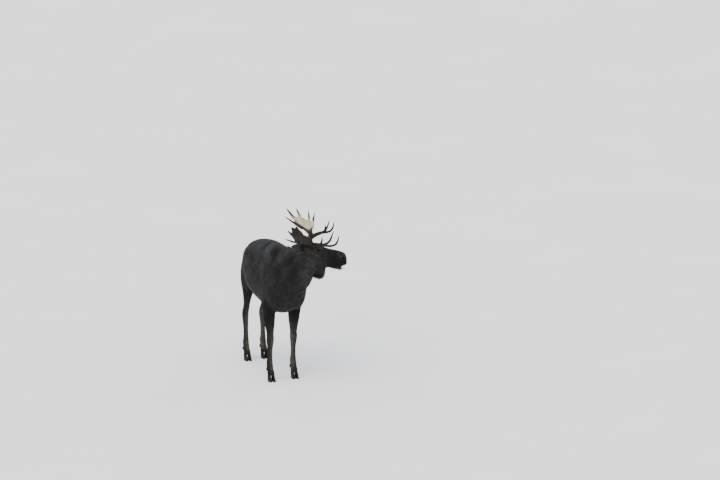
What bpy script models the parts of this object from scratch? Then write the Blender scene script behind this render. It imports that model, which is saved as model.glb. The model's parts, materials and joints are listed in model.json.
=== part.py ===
"""A life-size bull moose standing square, its head turned to its left.

The moose faces -Y, its own left is +X, and it stands on the floor at Z = 0. The flesh is modelled whole:
lofted forms are fused, smoothed and thinned to facets, then parted by thin cuts into the pieces that a
person would name. Antlers, ears, eyes, hooves, dewclaws and tail are made on their own and fitted to it.
"""
import math

import bmesh
import bpy
import numpy as np
from mathutils import Matrix, Vector

# ---------------------------------------------------------------- driving dimensions, in metres
WITHERS_HEIGHT = 1.95        # top of the hump, to the tips of the coat
BARREL_HALF_WIDTH = 0.32     # widest half breadth of the barrel
TRUNK_FRONT = -0.92          # front of the chest, along Y
TRUNK_LENGTH = 1.83          # chest to buttocks
GAP = 0.0004                 # clearance left by every cut and between fitted pieces

FORE_X = {"left": 0.187, "right": 0.187}     # feet, outward from the middle
HIND_X = {"left": 0.150, "right": 0.125}
FORE_Y = {"left": -0.36, "right": -0.43}
HIND_Y = {"left": 0.89, "right": 0.835}
KNEE_HEIGHT, HOCK_HEIGHT = 0.595, 0.655
CORONET_HEIGHT = 0.088       # top of the hooves

POLL = Vector((0.17, -0.95, 2.11))     # top of the skull, between the antlers
HEAD_HEADING = math.radians(-19.0)     # direction of the nose, from +X
HEAD_ROLL = math.radians(1.5)          # lifts the left antler a little
HEAD_LENGTH = 0.595                    # poll to nose
EYE_RADIUS = 0.021
EAR_LENGTH = 0.25
PEDICLE = Vector((0.045, 0.085, -0.010))    # antler root in the head's frame: forward, outward, up

FLESH_VOXEL, FLESH_FACES = 0.0125, 3600
ANTLER_VOXEL, PALM_FACES, BROW_FACES = 0.0050, 620, 320

SIDES = {"left": 1.0, "right": -1.0}

# ---------------------------------------------------------------- colour, roughness and metallic value
FINISHES = {
    "coat": ((0.035, 0.029, 0.025), 0.90, 0.0),
    "leg_coat": ((0.085, 0.078, 0.070), 0.90, 0.0),
    "hoof": ((0.020, 0.017, 0.015), 0.45, 0.0),
    "antler": ((0.160, 0.115, 0.070), 0.65, 0.0),
    "eye": ((0.010, 0.006, 0.004), 0.08, 0.0),
}


def finish(name):
    """Return the named material, made on first use."""
    made = bpy.data.materials.get(name)
    if made is None:
        colour, rough, metal = FINISHES[name]
        made = bpy.data.materials.new(name)
        made.use_nodes = True
        shader = made.node_tree.nodes["Principled BSDF"]
        shader.inputs["Base Color"].default_value = (*colour, 1.0)
        shader.inputs["Roughness"].default_value = rough
        shader.inputs["Metallic"].default_value = metal
    return made


# ---------------------------------------------------------------- frames of reference
def head_point(forward, outward, up, side="left"):
    """Point in the world from the head's own frame, whose origin is the poll."""
    turn = Matrix.Rotation(HEAD_HEADING, 3, "Z") @ Matrix.Rotation(HEAD_ROLL, 3, "X")
    return POLL + turn @ Vector((forward, outward * SIDES[side], up))


def head_direction(forward, outward, up, side="left"):
    """Direction in the world from the head's own frame."""
    return (head_point(forward, outward, up, side) - POLL).normalized()


# ---------------------------------------------------------------- mesh tools
def new_object(name, mesh, material):
    """Link an object that shows the mesh in the named finish."""
    made = bpy.data.objects.new(name, mesh)
    mesh.materials.clear()
    mesh.materials.append(finish(material))
    bpy.context.scene.collection.objects.link(made)
    return made


def smooth_rows(rows, steps):
    """Rows of numbers passed through by a Catmull-Rom curve, with the given steps between them."""
    table = np.array([rows[0], *rows, rows[-1]], dtype=float)
    result = []
    for index in range(1, len(table) - 2):
        before, start, end, after = table[index - 1:index + 3]
        for step in range(steps):
            t = step / steps
            result.append(0.5 * (2.0 * start + (end - before) * t
                                 + (2.0 * before - 5.0 * start + 4.0 * end - after) * t ** 2
                                 + (3.0 * start - before - 3.0 * end + after) * t ** 3))
    result.append(table[-2])
    return result


def loft(rows, side_axis=(1.0, 0.0, 0.0), sides=20, steps=4, power=2.2, upright=False):
    """Closed skin over rows of (x, y, z, half side, half up, taper), run through smoothly.

    Half side is measured along side_axis, half up across it; taper narrows the upper half when
    positive. An upright loft keeps its sections vertical, others turn with their path.
    """
    rows = smooth_rows(rows, steps)
    shape = bmesh.new()
    rings = []
    last_upward = Vector((0.0, 0.0, 1.0))
    for index, row in enumerate(rows):
        ahead = rows[min(index + 1, len(rows) - 1)]
        behind = rows[max(index - 1, 0)]
        path = Vector(ahead[:3] - behind[:3]).normalized()
        if upright:
            path.z = 0.0
            path.normalize()
        across = Vector(side_axis)
        across = (across - path * across.dot(path)).normalized()
        upward = across.cross(path)
        if upward.dot(last_upward) < 0.0:
            upward = -upward
        last_upward = upward
        centre, half_side, half_up, taper = Vector(row[:3]), row[3], row[4], row[5]
        ring = []
        for corner in range(sides):
            angle = math.tau * corner / sides
            cosine, sine = math.cos(angle), math.sin(angle)
            wide = math.copysign(abs(cosine) ** (2.0 / power), cosine)
            high = math.copysign(abs(sine) ** (2.0 / power), sine)
            narrow = 1.0 - taper * high
            ring.append(shape.verts.new(centre + across * (half_side * wide * narrow)
                                        + upward * (half_up * high)))
        rings.append(ring)
    for first, second in zip(rings, rings[1:]):
        for corner in range(sides):
            after = (corner + 1) % sides
            shape.faces.new((first[corner], first[after], second[after], second[corner]))
    shape.faces.new(rings[0])
    shape.faces.new(rings[-1])
    bmesh.ops.recalc_face_normals(shape, faces=shape.faces)
    return shape


def slab(front, back):
    """Closed sheet between two grids of points that lie face to face."""
    shape = bmesh.new()
    rows, columns = len(front), len(front[0])
    skins = [[[shape.verts.new(point) for point in line] for line in grid] for grid in (front, back)]
    for row in range(rows - 1):
        for column in range(columns - 1):
            for skin in skins:
                shape.faces.new((skin[row][column], skin[row][column + 1],
                                 skin[row + 1][column + 1], skin[row + 1][column]))
    rim = ([(row, 0) for row in range(rows)] + [(rows - 1, column) for column in range(1, columns)]
           + [(row, columns - 1) for row in range(rows - 2, -1, -1)]
           + [(0, column) for column in range(columns - 2, 0, -1)])
    for (row, column), (next_row, next_column) in zip(rim, rim[1:] + rim[:1]):
        shape.faces.new((skins[0][row][column], skins[0][next_row][next_column],
                         skins[1][next_row][next_column], skins[1][row][column]))
    bmesh.ops.recalc_face_normals(shape, faces=shape.faces)
    return shape


def ellipsoid(centre, radii, tilt=(0.0, 0.0, 0.0)):
    """Closed ellipsoid with its half axes, turned about X, Y and Z by tilt in degrees."""
    shape = bmesh.new()
    bmesh.ops.create_uvsphere(shape, u_segments=24, v_segments=14, radius=1.0)
    turn = Matrix.Identity(4)
    for axis, angle in zip("XYZ", tilt):
        turn = Matrix.Rotation(math.radians(angle), 4, axis) @ turn
    bmesh.ops.transform(shape, matrix=Matrix.Translation(centre) @ turn
                        @ Matrix.Diagonal((*radii, 1.0)), verts=shape.verts)
    return shape


def joined(name, shapes, material):
    """One object that holds all the shapes."""
    mesh = bpy.data.meshes.new(name)
    whole = bmesh.new()
    for shape in shapes:
        shape.to_mesh(mesh)
        shape.free()
        whole.from_mesh(mesh)
        mesh.clear_geometry()
    whole.to_mesh(mesh)
    whole.free()
    return new_object(name, mesh, material)


def settle(target):
    """Give the object the mesh that its modifiers make, and drop the modifiers."""
    view = bpy.context.evaluated_depsgraph_get()
    mesh = bpy.data.meshes.new_from_object(target.evaluated_get(view))
    target.modifiers.clear()
    target.data = mesh
    return target


def relax(target, rounds):
    """Smooth the mesh without shrinking it: each inward pass is followed by an outward one."""
    mesh = target.data
    count = len(mesh.vertices)
    points = np.empty(count * 3)
    mesh.vertices.foreach_get("co", points)
    points = points.reshape(-1, 3)
    edges = np.empty(len(mesh.edges) * 2, dtype=np.int64)
    mesh.edges.foreach_get("vertices", edges)
    first, second = edges.reshape(-1, 2).T
    valence = np.bincount(np.concatenate((first, second)), minlength=count)[:, None]
    for _ in range(rounds):
        for weight in (0.55, -0.56):
            total = np.zeros_like(points)
            np.add.at(total, first, points[second])
            np.add.at(total, second, points[first])
            points = points + weight * (total / valence - points)
    mesh.vertices.foreach_set("co", points.ravel())
    mesh.update()


def fuse(target, voxel, rounds, faces):
    """Make overlapping closed shapes one body, smooth it, and thin it to a number of triangles."""
    remesh = target.modifiers.new("fuse", "REMESH")
    remesh.mode = "VOXEL"
    remesh.voxel_size = voxel
    settle(target)
    relax(target, rounds)
    triangles = sum(len(face.vertices) - 2 for face in target.data.polygons)
    thin = target.modifiers.new("thin", "DECIMATE")
    thin.ratio = faces / triangles
    return settle(target)


def boolean(target, tool, operation):
    """Cut or keep the target with a closed tool, which is then removed."""
    cut = target.modifiers.new("cut", "BOOLEAN")
    cut.operation = operation
    cut.object = tool
    cut.use_self = True
    settle(target)
    bpy.data.objects.remove(tool)
    return target


def copy_of(source, name):
    """A second object with its own mesh."""
    made = bpy.data.objects.new(name, source.data.copy())
    bpy.context.scene.collection.objects.link(made)
    return made


def grown(source, amount):
    """A copy of the solid with its skin moved outwards."""
    made = copy_of(source, "grown")
    push = made.modifiers.new("push", "DISPLACE")
    push.strength = amount
    push.mid_level = 0.0
    return settle(made)


def region(planes, margin):
    """Closed convex solid behind every plane, given as (point, outward normal), grown by a margin."""
    shape = bmesh.new()
    bmesh.ops.create_cube(shape, size=6.0)
    for point, normal in planes:
        outward = Vector(normal).normalized()
        cut = bmesh.ops.bisect_plane(shape, geom=shape.verts[:] + shape.edges[:] + shape.faces[:],
                                     plane_co=Vector(point) + outward * margin, plane_no=outward,
                                     clear_outer=True)
        edges = [item for item in cut["geom_cut"] if isinstance(item, bmesh.types.BMEdge)]
        bmesh.ops.contextual_create(shape, geom=edges)
    bmesh.ops.recalc_face_normals(shape, faces=shape.faces)
    return joined("region", [shape], "coat")


def part_off(body, name, planes, material="coat"):
    """Cut a named piece off the body and leave a thin gap between the two."""
    piece = copy_of(body, name)
    boolean(piece, region(planes, 0.0), "INTERSECT")
    boolean(body, region(planes, GAP), "DIFFERENCE")
    piece.data.materials.clear()
    piece.data.materials.append(finish(material))
    return piece


def fit_to(piece, neighbour):
    """Trim a fitted piece where its root sinks into its neighbour, and keep the gap."""
    return boolean(piece, grown(neighbour, GAP), "DIFFERENCE")


# ---------------------------------------------------------------- trunk, neck and head
# along the trunk from chest to buttocks; height of the back and of the belly in withers heights;
# half width in barrel half widths; taper of the upper half
TRUNK_ROWS = (
    (0.00, 0.735, 0.675, 0.20, 0.00),
    (0.05, 0.850, 0.590, 0.52, 0.05),
    (0.13, 0.945, 0.540, 0.72, 0.12),
    (0.23, 0.988, 0.510, 0.82, 0.20),
    (0.33, 1.000, 0.508, 0.87, 0.22),
    (0.45, 0.997, 0.518, 0.94, 0.16),
    (0.58, 0.982, 0.528, 0.99, 0.10),
    (0.71, 0.962, 0.550, 0.94, 0.06),
    (0.82, 0.934, 0.600, 0.79, 0.04),
    (0.91, 0.888, 0.655, 0.61, 0.00),
    (0.97, 0.822, 0.690, 0.40, 0.00),
    (1.00, 0.775, 0.730, 0.16, 0.00),
)

# centre, half width and half depth of the neck, from inside the trunk to the poll
NECK_ROWS = (
    (0.000, -0.30, 1.530, 0.230, 0.390, 0.25),
    (0.010, -0.52, 1.580, 0.225, 0.385, 0.30),
    (0.045, -0.70, 1.655, 0.200, 0.350, 0.32),
    (0.095, -0.83, 1.735, 0.170, 0.310, 0.30),
    (0.165, -0.93, 1.825, 0.145, 0.265, 0.22),
    (0.250, -0.98, 1.885, 0.120, 0.210, 0.15),
    (0.320, -1.00, 1.905, 0.090, 0.160, 0.10),
)

# forward from the poll in head lengths; half width, top and bottom from the poll; taper
SKULL_ROWS = (
    (-0.08, 0.060, -0.050, -0.190, 0.00),
    (0.00, 0.098, -0.004, -0.270, 0.00),
    (0.14, 0.108, 0.002, -0.345, -0.04),
    (0.30, 0.106, -0.018, -0.350, -0.10),
    (0.45, 0.082, -0.056, -0.325, -0.06),
    (0.60, 0.069, -0.084, -0.305, 0.00),
    (0.75, 0.073, -0.102, -0.312, 0.06),
    (0.87, 0.078, -0.124, -0.322, 0.08),
    (0.95, 0.071, -0.158, -0.326, 0.06),
    (1.00, 0.040, -0.208, -0.306, 0.00),
)
JAW_ROWS = (
    (0.18, 0.072, -0.250, -0.372, 0.00),
    (0.36, 0.060, -0.270, -0.368, 0.00),
    (0.55, 0.047, -0.280, -0.356, 0.00),
    (0.72, 0.048, -0.285, -0.360, 0.00),
    (0.84, 0.047, -0.290, -0.362, 0.00),
    (0.90, 0.022, -0.300, -0.345, 0.00),
)


def trunk_form():
    """Barrel, hump and croup as one loft along Y."""
    rows = []
    for along, back, belly, width, taper in TRUNK_ROWS:
        top, bottom = back * WITHERS_HEIGHT, belly * WITHERS_HEIGHT
        rows.append((0.0, TRUNK_FRONT + along * TRUNK_LENGTH, (top + bottom) / 2.0,
                     width * BARREL_HALF_WIDTH, (top - bottom) / 2.0, taper))
    return loft(rows, sides=32, upright=True)


def head_form(source, power):
    """A loft along the head from rows in the head's frame."""
    rows = []
    for forward, width, top, bottom, taper in source:
        centre = head_point(forward * HEAD_LENGTH, 0.0, (top + bottom) / 2.0)
        rows.append((*centre, width, (top - bottom) / 2.0, taper))
    return loft(rows, side_axis=head_direction(0.0, 1.0, 0.0), sides=24, power=power, upright=True)


def head_details():
    """Cheeks, brow ridges, nostril wings and overhanging lip."""
    shapes = []
    turn = (math.degrees(HEAD_ROLL), 0.0, math.degrees(HEAD_HEADING))
    for side in SIDES:
        shapes.append(ellipsoid(head_point(0.150, 0.062, -0.235, side), (0.115, 0.048, 0.105), turn))
        shapes.append(ellipsoid(head_point(0.172, 0.082, -0.052, side), (0.060, 0.030, 0.034), turn))
        shapes.append(ellipsoid(head_point(0.538, 0.048, -0.196, side), (0.048, 0.036, 0.046), turn))
        shapes.append(ellipsoid(head_point(0.545, 0.030, -0.285, side), (0.052, 0.044, 0.040), turn))
    return shapes


def bell_form():
    """Short dewlap that hangs from the throat."""
    rows = ((0.16, 0.062, -0.320, 0.130), (0.20, 0.050, -0.390, 0.120), (0.235, 0.032, -0.445, 0.078),
            (0.245, 0.012, -0.485, 0.030))
    path = [(*head_point(forward, 0.0, up), width, depth, 0.0) for forward, width, up, depth in rows]
    return loft(path, side_axis=head_direction(0.0, 1.0, 0.0), sides=12, steps=3)


# ---------------------------------------------------------------- legs
# height, step back from the foot along Y, outward from the foot, half width, half depth
FORELEG_ROWS = (
    (1.560, -0.050, -0.010, 0.060, 0.160),
    (1.360, -0.060, 0.012, 0.078, 0.180),
    (1.200, -0.030, 0.026, 0.090, 0.158),
    (1.080, -0.015, 0.022, 0.094, 0.128),
    (0.940, -0.020, 0.012, 0.084, 0.102),
    (0.800, -0.026, 0.004, 0.066, 0.078),
    (0.690, -0.030, 0.000, 0.051, 0.056),
    (0.610, -0.034, 0.000, 0.055, 0.060),
    (0.540, -0.026, 0.000, 0.047, 0.050),
    (0.440, -0.018, 0.000, 0.037, 0.043),
    (0.330, -0.012, 0.000, 0.037, 0.045),
    (0.255, -0.004, 0.000, 0.047, 0.055),
    (0.175, -0.034, 0.000, 0.045, 0.047),
    (0.100, -0.062, 0.000, 0.054, 0.058),
    (0.070, -0.070, 0.000, 0.054, 0.058),
)
HINDLEG_ROWS = (
    (1.620, -0.170, -0.060, 0.050, 0.100),
    (1.440, -0.190, -0.002, 0.096, 0.225),
    (1.270, -0.235, 0.034, 0.088, 0.232),
    (1.125, -0.250, 0.052, 0.067, 0.180),
    (0.985, -0.190, 0.042, 0.050, 0.118),
    (0.860, -0.110, 0.018, 0.042, 0.084),
    (0.755, -0.040, 0.004, 0.040, 0.068),
    (0.650, 0.012, 0.000, 0.046, 0.066),
    (0.570, 0.000, 0.000, 0.041, 0.052),
    (0.450, -0.012, 0.000, 0.035, 0.044),
    (0.330, -0.020, 0.000, 0.036, 0.046),
    (0.255, -0.014, 0.000, 0.046, 0.055),
    (0.175, -0.044, 0.000, 0.044, 0.047),
    (0.100, -0.072, 0.000, 0.053, 0.057),
    (0.070, -0.080, 0.000, 0.053, 0.057),
)


def leg_form(source, side, foot_x, foot_y):
    """A leg from inside the body down to its hoof."""
    rows = [((foot_x + out) * SIDES[side], foot_y + back, height, width, depth, 0.0)
            for height, back, out, width, depth in source]
    return loft(rows, sides=18, steps=3)


def body_masses():
    """Shoulder blades, points of the shoulder, upper arms, haunches, hocks and the seat."""
    shapes = []
    for side, sign in SIDES.items():
        shapes.append(ellipsoid((0.152 * sign, -0.42, 1.470), (0.112, 0.200, 0.370),
                                (-14.0, -9.0 * sign, 0.0)))
        shapes.append(ellipsoid((0.160 * sign, -0.62, 1.330), (0.118, 0.200, 0.290), (20.0, 0.0, 0.0)))
        shapes.append(ellipsoid((0.118 * sign, 0.61, 1.370), (0.125, 0.245, 0.340), (14.0, -6.0 * sign, 0.0)))
        shapes.append(ellipsoid((0.168 * sign, -0.50, 1.310), (0.110, 0.155, 0.200), (20.0, 0.0, 0.0)))
        hock_back = HIND_Y[side] + 0.052
        shapes.append(ellipsoid((HIND_X[side] * sign, hock_back, HOCK_HEIGHT + 0.035), (0.026, 0.030, 0.062)))
    shapes.append(ellipsoid((0.0, 0.740, 1.360), (0.205, 0.146, 0.310), (6.0, 0.0, 0.0)))
    return shapes


def flesh():
    """The whole body without ears, tail, hooves and antlers."""
    shapes = [trunk_form(), loft(NECK_ROWS, sides=28), head_form(SKULL_ROWS, 2.4), head_form(JAW_ROWS, 2.2),
              bell_form(), *head_details(), *body_masses()]
    for side in SIDES:
        shapes.append(leg_form(FORELEG_ROWS, side, FORE_X[side], FORE_Y[side]))
        shapes.append(leg_form(HINDLEG_ROWS, side, HIND_X[side], HIND_Y[side]))
    body = joined("trunk", shapes, "coat")
    return fuse(body, FLESH_VOXEL, 9, FLESH_FACES)


# ---------------------------------------------------------------- small parts
def eye(side):
    """Eyeball set under the brow."""
    shape = bmesh.new()
    bmesh.ops.create_uvsphere(shape, u_segments=10, v_segments=6, radius=EYE_RADIUS)
    turn = head_direction(0.15, 1.0, 0.05, side).to_track_quat("Z", "X").to_matrix().to_4x4()
    centre = head_point(0.196, 0.0935, -0.082, side)
    bmesh.ops.transform(shape, matrix=Matrix.Translation(centre) @ turn, verts=shape.verts)
    return joined("eye_" + side, [shape], "eye")


def ear(side):
    """Leaf-shaped cupped ear, pointing back and outwards behind the antler."""
    root = head_point(-0.035, 0.070, -0.045, side)
    along = head_direction(-0.62, 0.72, 0.30, side)
    opening = head_direction(0.35, 0.45, 0.10, side)
    opening = (opening - along * opening.dot(along)).normalized()
    across = along.cross(opening)
    rows, columns = 7, 6
    inner, outer = [], []
    for row in range(rows):
        far = row / (rows - 1)
        half = 0.056 * math.sin(math.pi * min(0.20 + 0.78 * far, 1.0)) ** 0.8 + 0.004
        curl = math.radians(82.0 - 34.0 * far)
        thick = 0.011 - 0.005 * far
        line = []
        for column in range(columns):
            turn = (column / (columns - 1) * 2.0 - 1.0) * curl
            wide = half * math.sin(turn) / math.sin(curl)
            cup = half * (1.0 - math.cos(turn)) * 0.9
            line.append(root + along * (EAR_LENGTH * far) + across * wide + opening * cup)
        inner.append(line)
        outer.append([point - opening * thick for point in line])
    return joined("ear_" + side, [slab(inner, outer)], "coat")


def tail():
    """Short tail that hangs over the rump."""
    back = TRUNK_FRONT + TRUNK_LENGTH
    rows = ((0.0, back - 0.110, 1.620, 0.028, 0.030, 0.0), (0.0, back - 0.034, 1.575, 0.032, 0.030, 0.0),
            (0.0, back + 0.006, 1.510, 0.026, 0.022, 0.0), (0.0, back + 0.012, 1.450, 0.010, 0.009, 0.0))
    return joined("tail", [loft(rows, sides=10, steps=2)], "coat")


def toe(name, centre_x, foot_y, sign):
    """One toe of a hoof: flat on the floor, pointed in front, its inner wall nearly straight."""
    shape = bmesh.new()
    rings, levels, corners = [], 4, 12
    top = CORONET_HEIGHT - GAP
    for level in range(levels):
        down = level / (levels - 1)
        half_length = 0.047 + 0.027 * down
        half_width = 0.0220 + 0.0046 * math.sin(0.5 * math.pi * down)
        middle_y = foot_y - 0.066 - 0.034 * down
        ring = []
        for corner in range(corners):
            angle = math.tau * corner / corners
            forward, outward = math.cos(angle), math.sin(angle)
            narrow = 1.0 - 0.34 * max(forward, 0.0) ** 2
            flat = 0.86 if outward < 0.0 else 1.12
            ring.append(shape.verts.new((centre_x + sign * half_width * outward * narrow * flat,
                                         middle_y - half_length * forward, top * (1.0 - down))))
        rings.append(ring)
    for first, second in zip(rings, rings[1:]):
        for corner in range(corners):
            after = (corner + 1) % corners
            shape.faces.new((first[corner], first[after], second[after], second[corner]))
    shape.faces.new(rings[0])
    shape.faces.new(rings[-1])
    bmesh.ops.recalc_face_normals(shape, faces=shape.faces)
    return joined(name, [shape], "hoof")


def dewclaw(name, centre_x, foot_y, sign, leg):
    """Small horn claw behind the pastern."""
    rows = ((centre_x, foot_y + 0.012, 0.190, 0.016, 0.014, 0.0),
            (centre_x + 0.006 * sign, foot_y + 0.032, 0.160, 0.018, 0.016, 0.0),
            (centre_x + 0.008 * sign, foot_y + 0.040, 0.125, 0.010, 0.009, 0.0))
    return fit_to(joined(name, [loft(rows, sides=6, steps=1)], "hoof"), leg)


# ---------------------------------------------------------------- antlers
# rays of each main palm in the head's frame, from the rear to the front: tip, how far the palm
# reaches towards it, how much of the palm's dish it takes, and whether a tine goes on to the tip
PALM_RAYS = {
    "left": (
        ((-0.298, 0.600, 0.234), 0.60, 0.0, True),
        ((-0.272, 0.600, 0.357), 0.78, 0.5, True),
        ((-0.192, 0.560, 0.297), 0.88, 0.6, False),
        ((-0.124, 0.560, 0.365), 0.82, 1.0, True),
        ((-0.043, 0.520, 0.270), 0.90, 0.8, False),
        ((0.049, 0.520, 0.351), 0.68, 1.0, True),
        ((0.138, 0.430, 0.338), 0.60, 0.5, True),
    ),
    "right": (
        ((-0.284, 0.600, 0.228), 0.60, 0.5, True),
        ((-0.244, 0.600, 0.354), 0.86, 0.9, True),
        ((-0.193, 0.580, 0.404), 1.00, 1.0, False),
        ((-0.121, 0.540, 0.401), 1.00, 1.0, False),
        ((-0.058, 0.460, 0.307), 1.00, 1.0, False),
        ((-0.009, 0.400, 0.236), 0.95, 0.8, False),
        ((0.100, 0.393, 0.350), 0.36, 0.5, True),
    ),
}
# tines of the brow palm: points along each, with the half width and half thickness there
BROW_TINES = (
    ((0.075, 0.150, 0.015, 0.030, 0.030), (0.170, 0.205, 0.012, 0.030, 0.026),
     (0.270, 0.250, 0.006, 0.030, 0.014), (0.360, 0.300, 0.018, 0.022, 0.012),
     (0.430, 0.348, 0.082, 0.013, 0.011), (0.470, 0.370, 0.216, 0.004, 0.004)),
    ((0.160, 0.185, 0.010, 0.022, 0.016), (0.260, 0.215, 0.012, 0.026, 0.013),
     (0.340, 0.228, 0.072, 0.014, 0.012), (0.392, 0.233, 0.235, 0.004, 0.004)),
)
# small tine behind them, its points counted forward from its own place
BROW_SNAG = ((-0.030, 0.215, 0.008, 0.020, 0.011), (-0.006, 0.222, 0.060, 0.012, 0.010),
             (0.0, 0.228, 0.140, 0.004, 0.004))
SNAG_ROOT = {"left": 0.325, "right": 0.238}  # how far forward it stands
BROW_LENGTH = {"left": 0.90, "right": 1.05}  # the two brow palms differ a little
BROW_ARCH = {"left": 0.080, "right": 0.028}  # how much higher the middle of each stands
BROW_STOUT = {"left": 0.75, "right": 1.0}    # how thick each is, against its tines' table
BROW_ROOT = 0.075            # where the brow palm leaves the beam, and where it ends, forward of the poll
BROW_REACH = 0.470
BEAM_END = {"left": Vector((0.085, 0.235, 0.065)), "right": Vector((0.085, 0.235, 0.075))}
PALM_SAG = Vector((0.0, 0.06, -0.10))        # how far the palm is dished, for each metre of its run
PALM_STEPS = 4               # strips of the palm between one ray and the next
PALM_BAY = 0.10              # how far its edge falls back between two rays


def blade(rows, face, sides=10):
    """Flattened tapering form along rows of (point, half width, half thickness), broad across face."""
    path = [(*point, width, thick, 0.0) for point, width, thick in rows]
    middle = Vector(path[-1][:3]) - Vector(path[0][:3])
    return loft(path, side_axis=middle.cross(face).normalized(), sides=sides, steps=4, power=2.0)


def antler_beam(side):
    """Round beam from the skull to the palm, with the burr round its root."""
    rows = ((PEDICLE + Vector((-0.012, -0.030, -0.020)), 0.024),
            (PEDICLE + Vector((0.0, 0.014, 0.004)), 0.032),
            (PEDICLE + Vector((0.004, 0.030, 0.010)), 0.026), (Vector((0.060, 0.160, 0.022)), 0.027),
            (BEAM_END[side], 0.034), (BEAM_END[side] + Vector((-0.050, 0.060, 0.045)), 0.020))
    path = [(*head_point(*point, side), radius, radius, 0.0) for point, radius in rows]
    return loft(path, side_axis=head_direction(1.0, 0.0, 0.0), sides=14, steps=4)


def palm_point(side, tip, part, dish):
    """Point on the dished palm, a part of the way from the beam to a tip."""
    run = tip - BEAM_END[side]
    sag = PALM_SAG * (dish * run.length * math.sin(math.pi * part))
    return head_point(*(BEAM_END[side] + run * part + sag), side)


def palm_plate(side):
    """The flat of the palm: a fan from the beam to a scalloped edge, thick at its root."""
    rays = smooth_rows([(*tip, reach, dish) for tip, reach, dish, _ in PALM_RAYS[side]], PALM_STEPS)
    levels = 9
    middle = []
    for index, ray in enumerate(rays):
        bay = 1.0 - PALM_BAY * math.sin(math.pi * (index % PALM_STEPS) / PALM_STEPS)
        parts = [ray[3] * bay * (0.10 + 0.90 * level / (levels - 1)) for level in range(levels)]
        middle.append([palm_point(side, Vector(ray[:3]), part, ray[4]) for part in parts])
    front, back = [], []
    for index, line in enumerate(middle):
        after, before = middle[min(index + 1, len(middle) - 1)], middle[max(index - 1, 0)]
        front_line, back_line = [], []
        for level, point in enumerate(line):
            outward = line[min(level + 1, levels - 1)] - line[max(level - 1, 0)]
            normal = (after[level] - before[level]).cross(outward).normalized()
            thick = 0.0085 + 0.012 * (1.0 - level / (levels - 1)) ** 2
            front_line.append(point + normal * thick)
            back_line.append(point - normal * thick)
        front.append(front_line)
        back.append(back_line)
    return slab(front, back)


def palm_form(side):
    """Beam, palm and the tines along its edge."""
    face = head_direction(0.20, -0.62, 0.74, side)
    shapes = [antler_beam(side), palm_plate(side)]
    for tip, reach, dish, has_tine in PALM_RAYS[side]:
        if has_tine:
            rows = []
            for share, width, thick in ((-0.75, 0.020, 0.0085), (-0.30, 0.024, 0.0090), (0.0, 0.017, 0.0100),
                                        (0.50, 0.0105, 0.0095), (1.0, 0.0038, 0.0038)):
                part = reach + (1.0 - reach) * share
                rows.append((palm_point(side, Vector(tip), part, dish), width, thick))
            shapes.append(blade(rows, face))
    return shapes


def brow_form(side):
    """Brow palm with its forward tines."""
    shapes = []
    face = head_direction(-0.10, -0.25, 0.95, side)
    snag = [(SNAG_ROOT[side] + forward, *others) for forward, *others in BROW_SNAG]
    for points in (*BROW_TINES, snag):
        rows = []
        for forward, outward, up, width, thick in points:
            arch = BROW_ARCH[side] * math.sin(math.pi * (forward - BROW_ROOT) / (BROW_REACH - BROW_ROOT))
            place = head_point(forward * BROW_LENGTH[side], outward, up + arch, side)
            rows.append((place, width, max(thick * BROW_STOUT[side], 0.004)))
        shapes.append(blade(rows, face))
    return shapes


def antler(side, head):
    """Beam with main palm, and brow palm, parted at the fork."""
    palm = fuse(joined("antler_" + side + "_palm", palm_form(side), "antler"), ANTLER_VOXEL, 3, PALM_FACES)
    brow = fuse(joined("antler_" + side + "_brow", brow_form(side), "antler"), ANTLER_VOXEL, 3, BROW_FACES)
    fit_to(brow, palm)
    fit_to(palm, head)
    return palm, brow


# ---------------------------------------------------------------- parting the body
def leg_cuts(body):
    """Part the legs from the body, and each at its knee or hock and at the coronet."""
    for side, sign in SIDES.items():
        inner = ((0.004 * sign, 0.0, 0.0), (-sign, 0.0, 0.0))
        fore_top = ((0.05 * sign, -0.4, 0.955), (-0.60 * sign, 0.0, 0.80))
        fore_back = ((0.0, FORE_Y[side] + 0.185, 1.0), (0.0, 1.0, 0.0))
        fore_front = ((0.0, FORE_Y[side] - 0.180, 1.0), (0.0, -1.0, 0.25))
        hind_top = ((0.03 * sign, 0.7, 1.04), (-0.60 * sign, 0.0, 0.80))
        hind_front = ((0.0, HIND_Y[side] - 0.458, 1.05), (0.0, -0.94, 0.34))
        fore = part_off(body, "foreleg_" + side + "_upper", (inner, fore_top, fore_back, fore_front))
        hind = part_off(body, "hindleg_" + side + "_upper", (inner, hind_top, hind_front))
        for leg, height, name in ((fore, KNEE_HEIGHT, "foreleg_"), (hind, HOCK_HEIGHT, "hindleg_")):
            joint = ((0.0, 0.0, height), (0.0, 0.0, 1.0))
            lower = part_off(leg, name + side + "_lower", (joint,), "leg_coat")
            floor_cut = ((0.0, 0.0, CORONET_HEIGHT), (0.0, 0.0, 1.0))
            boolean(lower, region((floor_cut,), 0.0), "DIFFERENCE")


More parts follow.
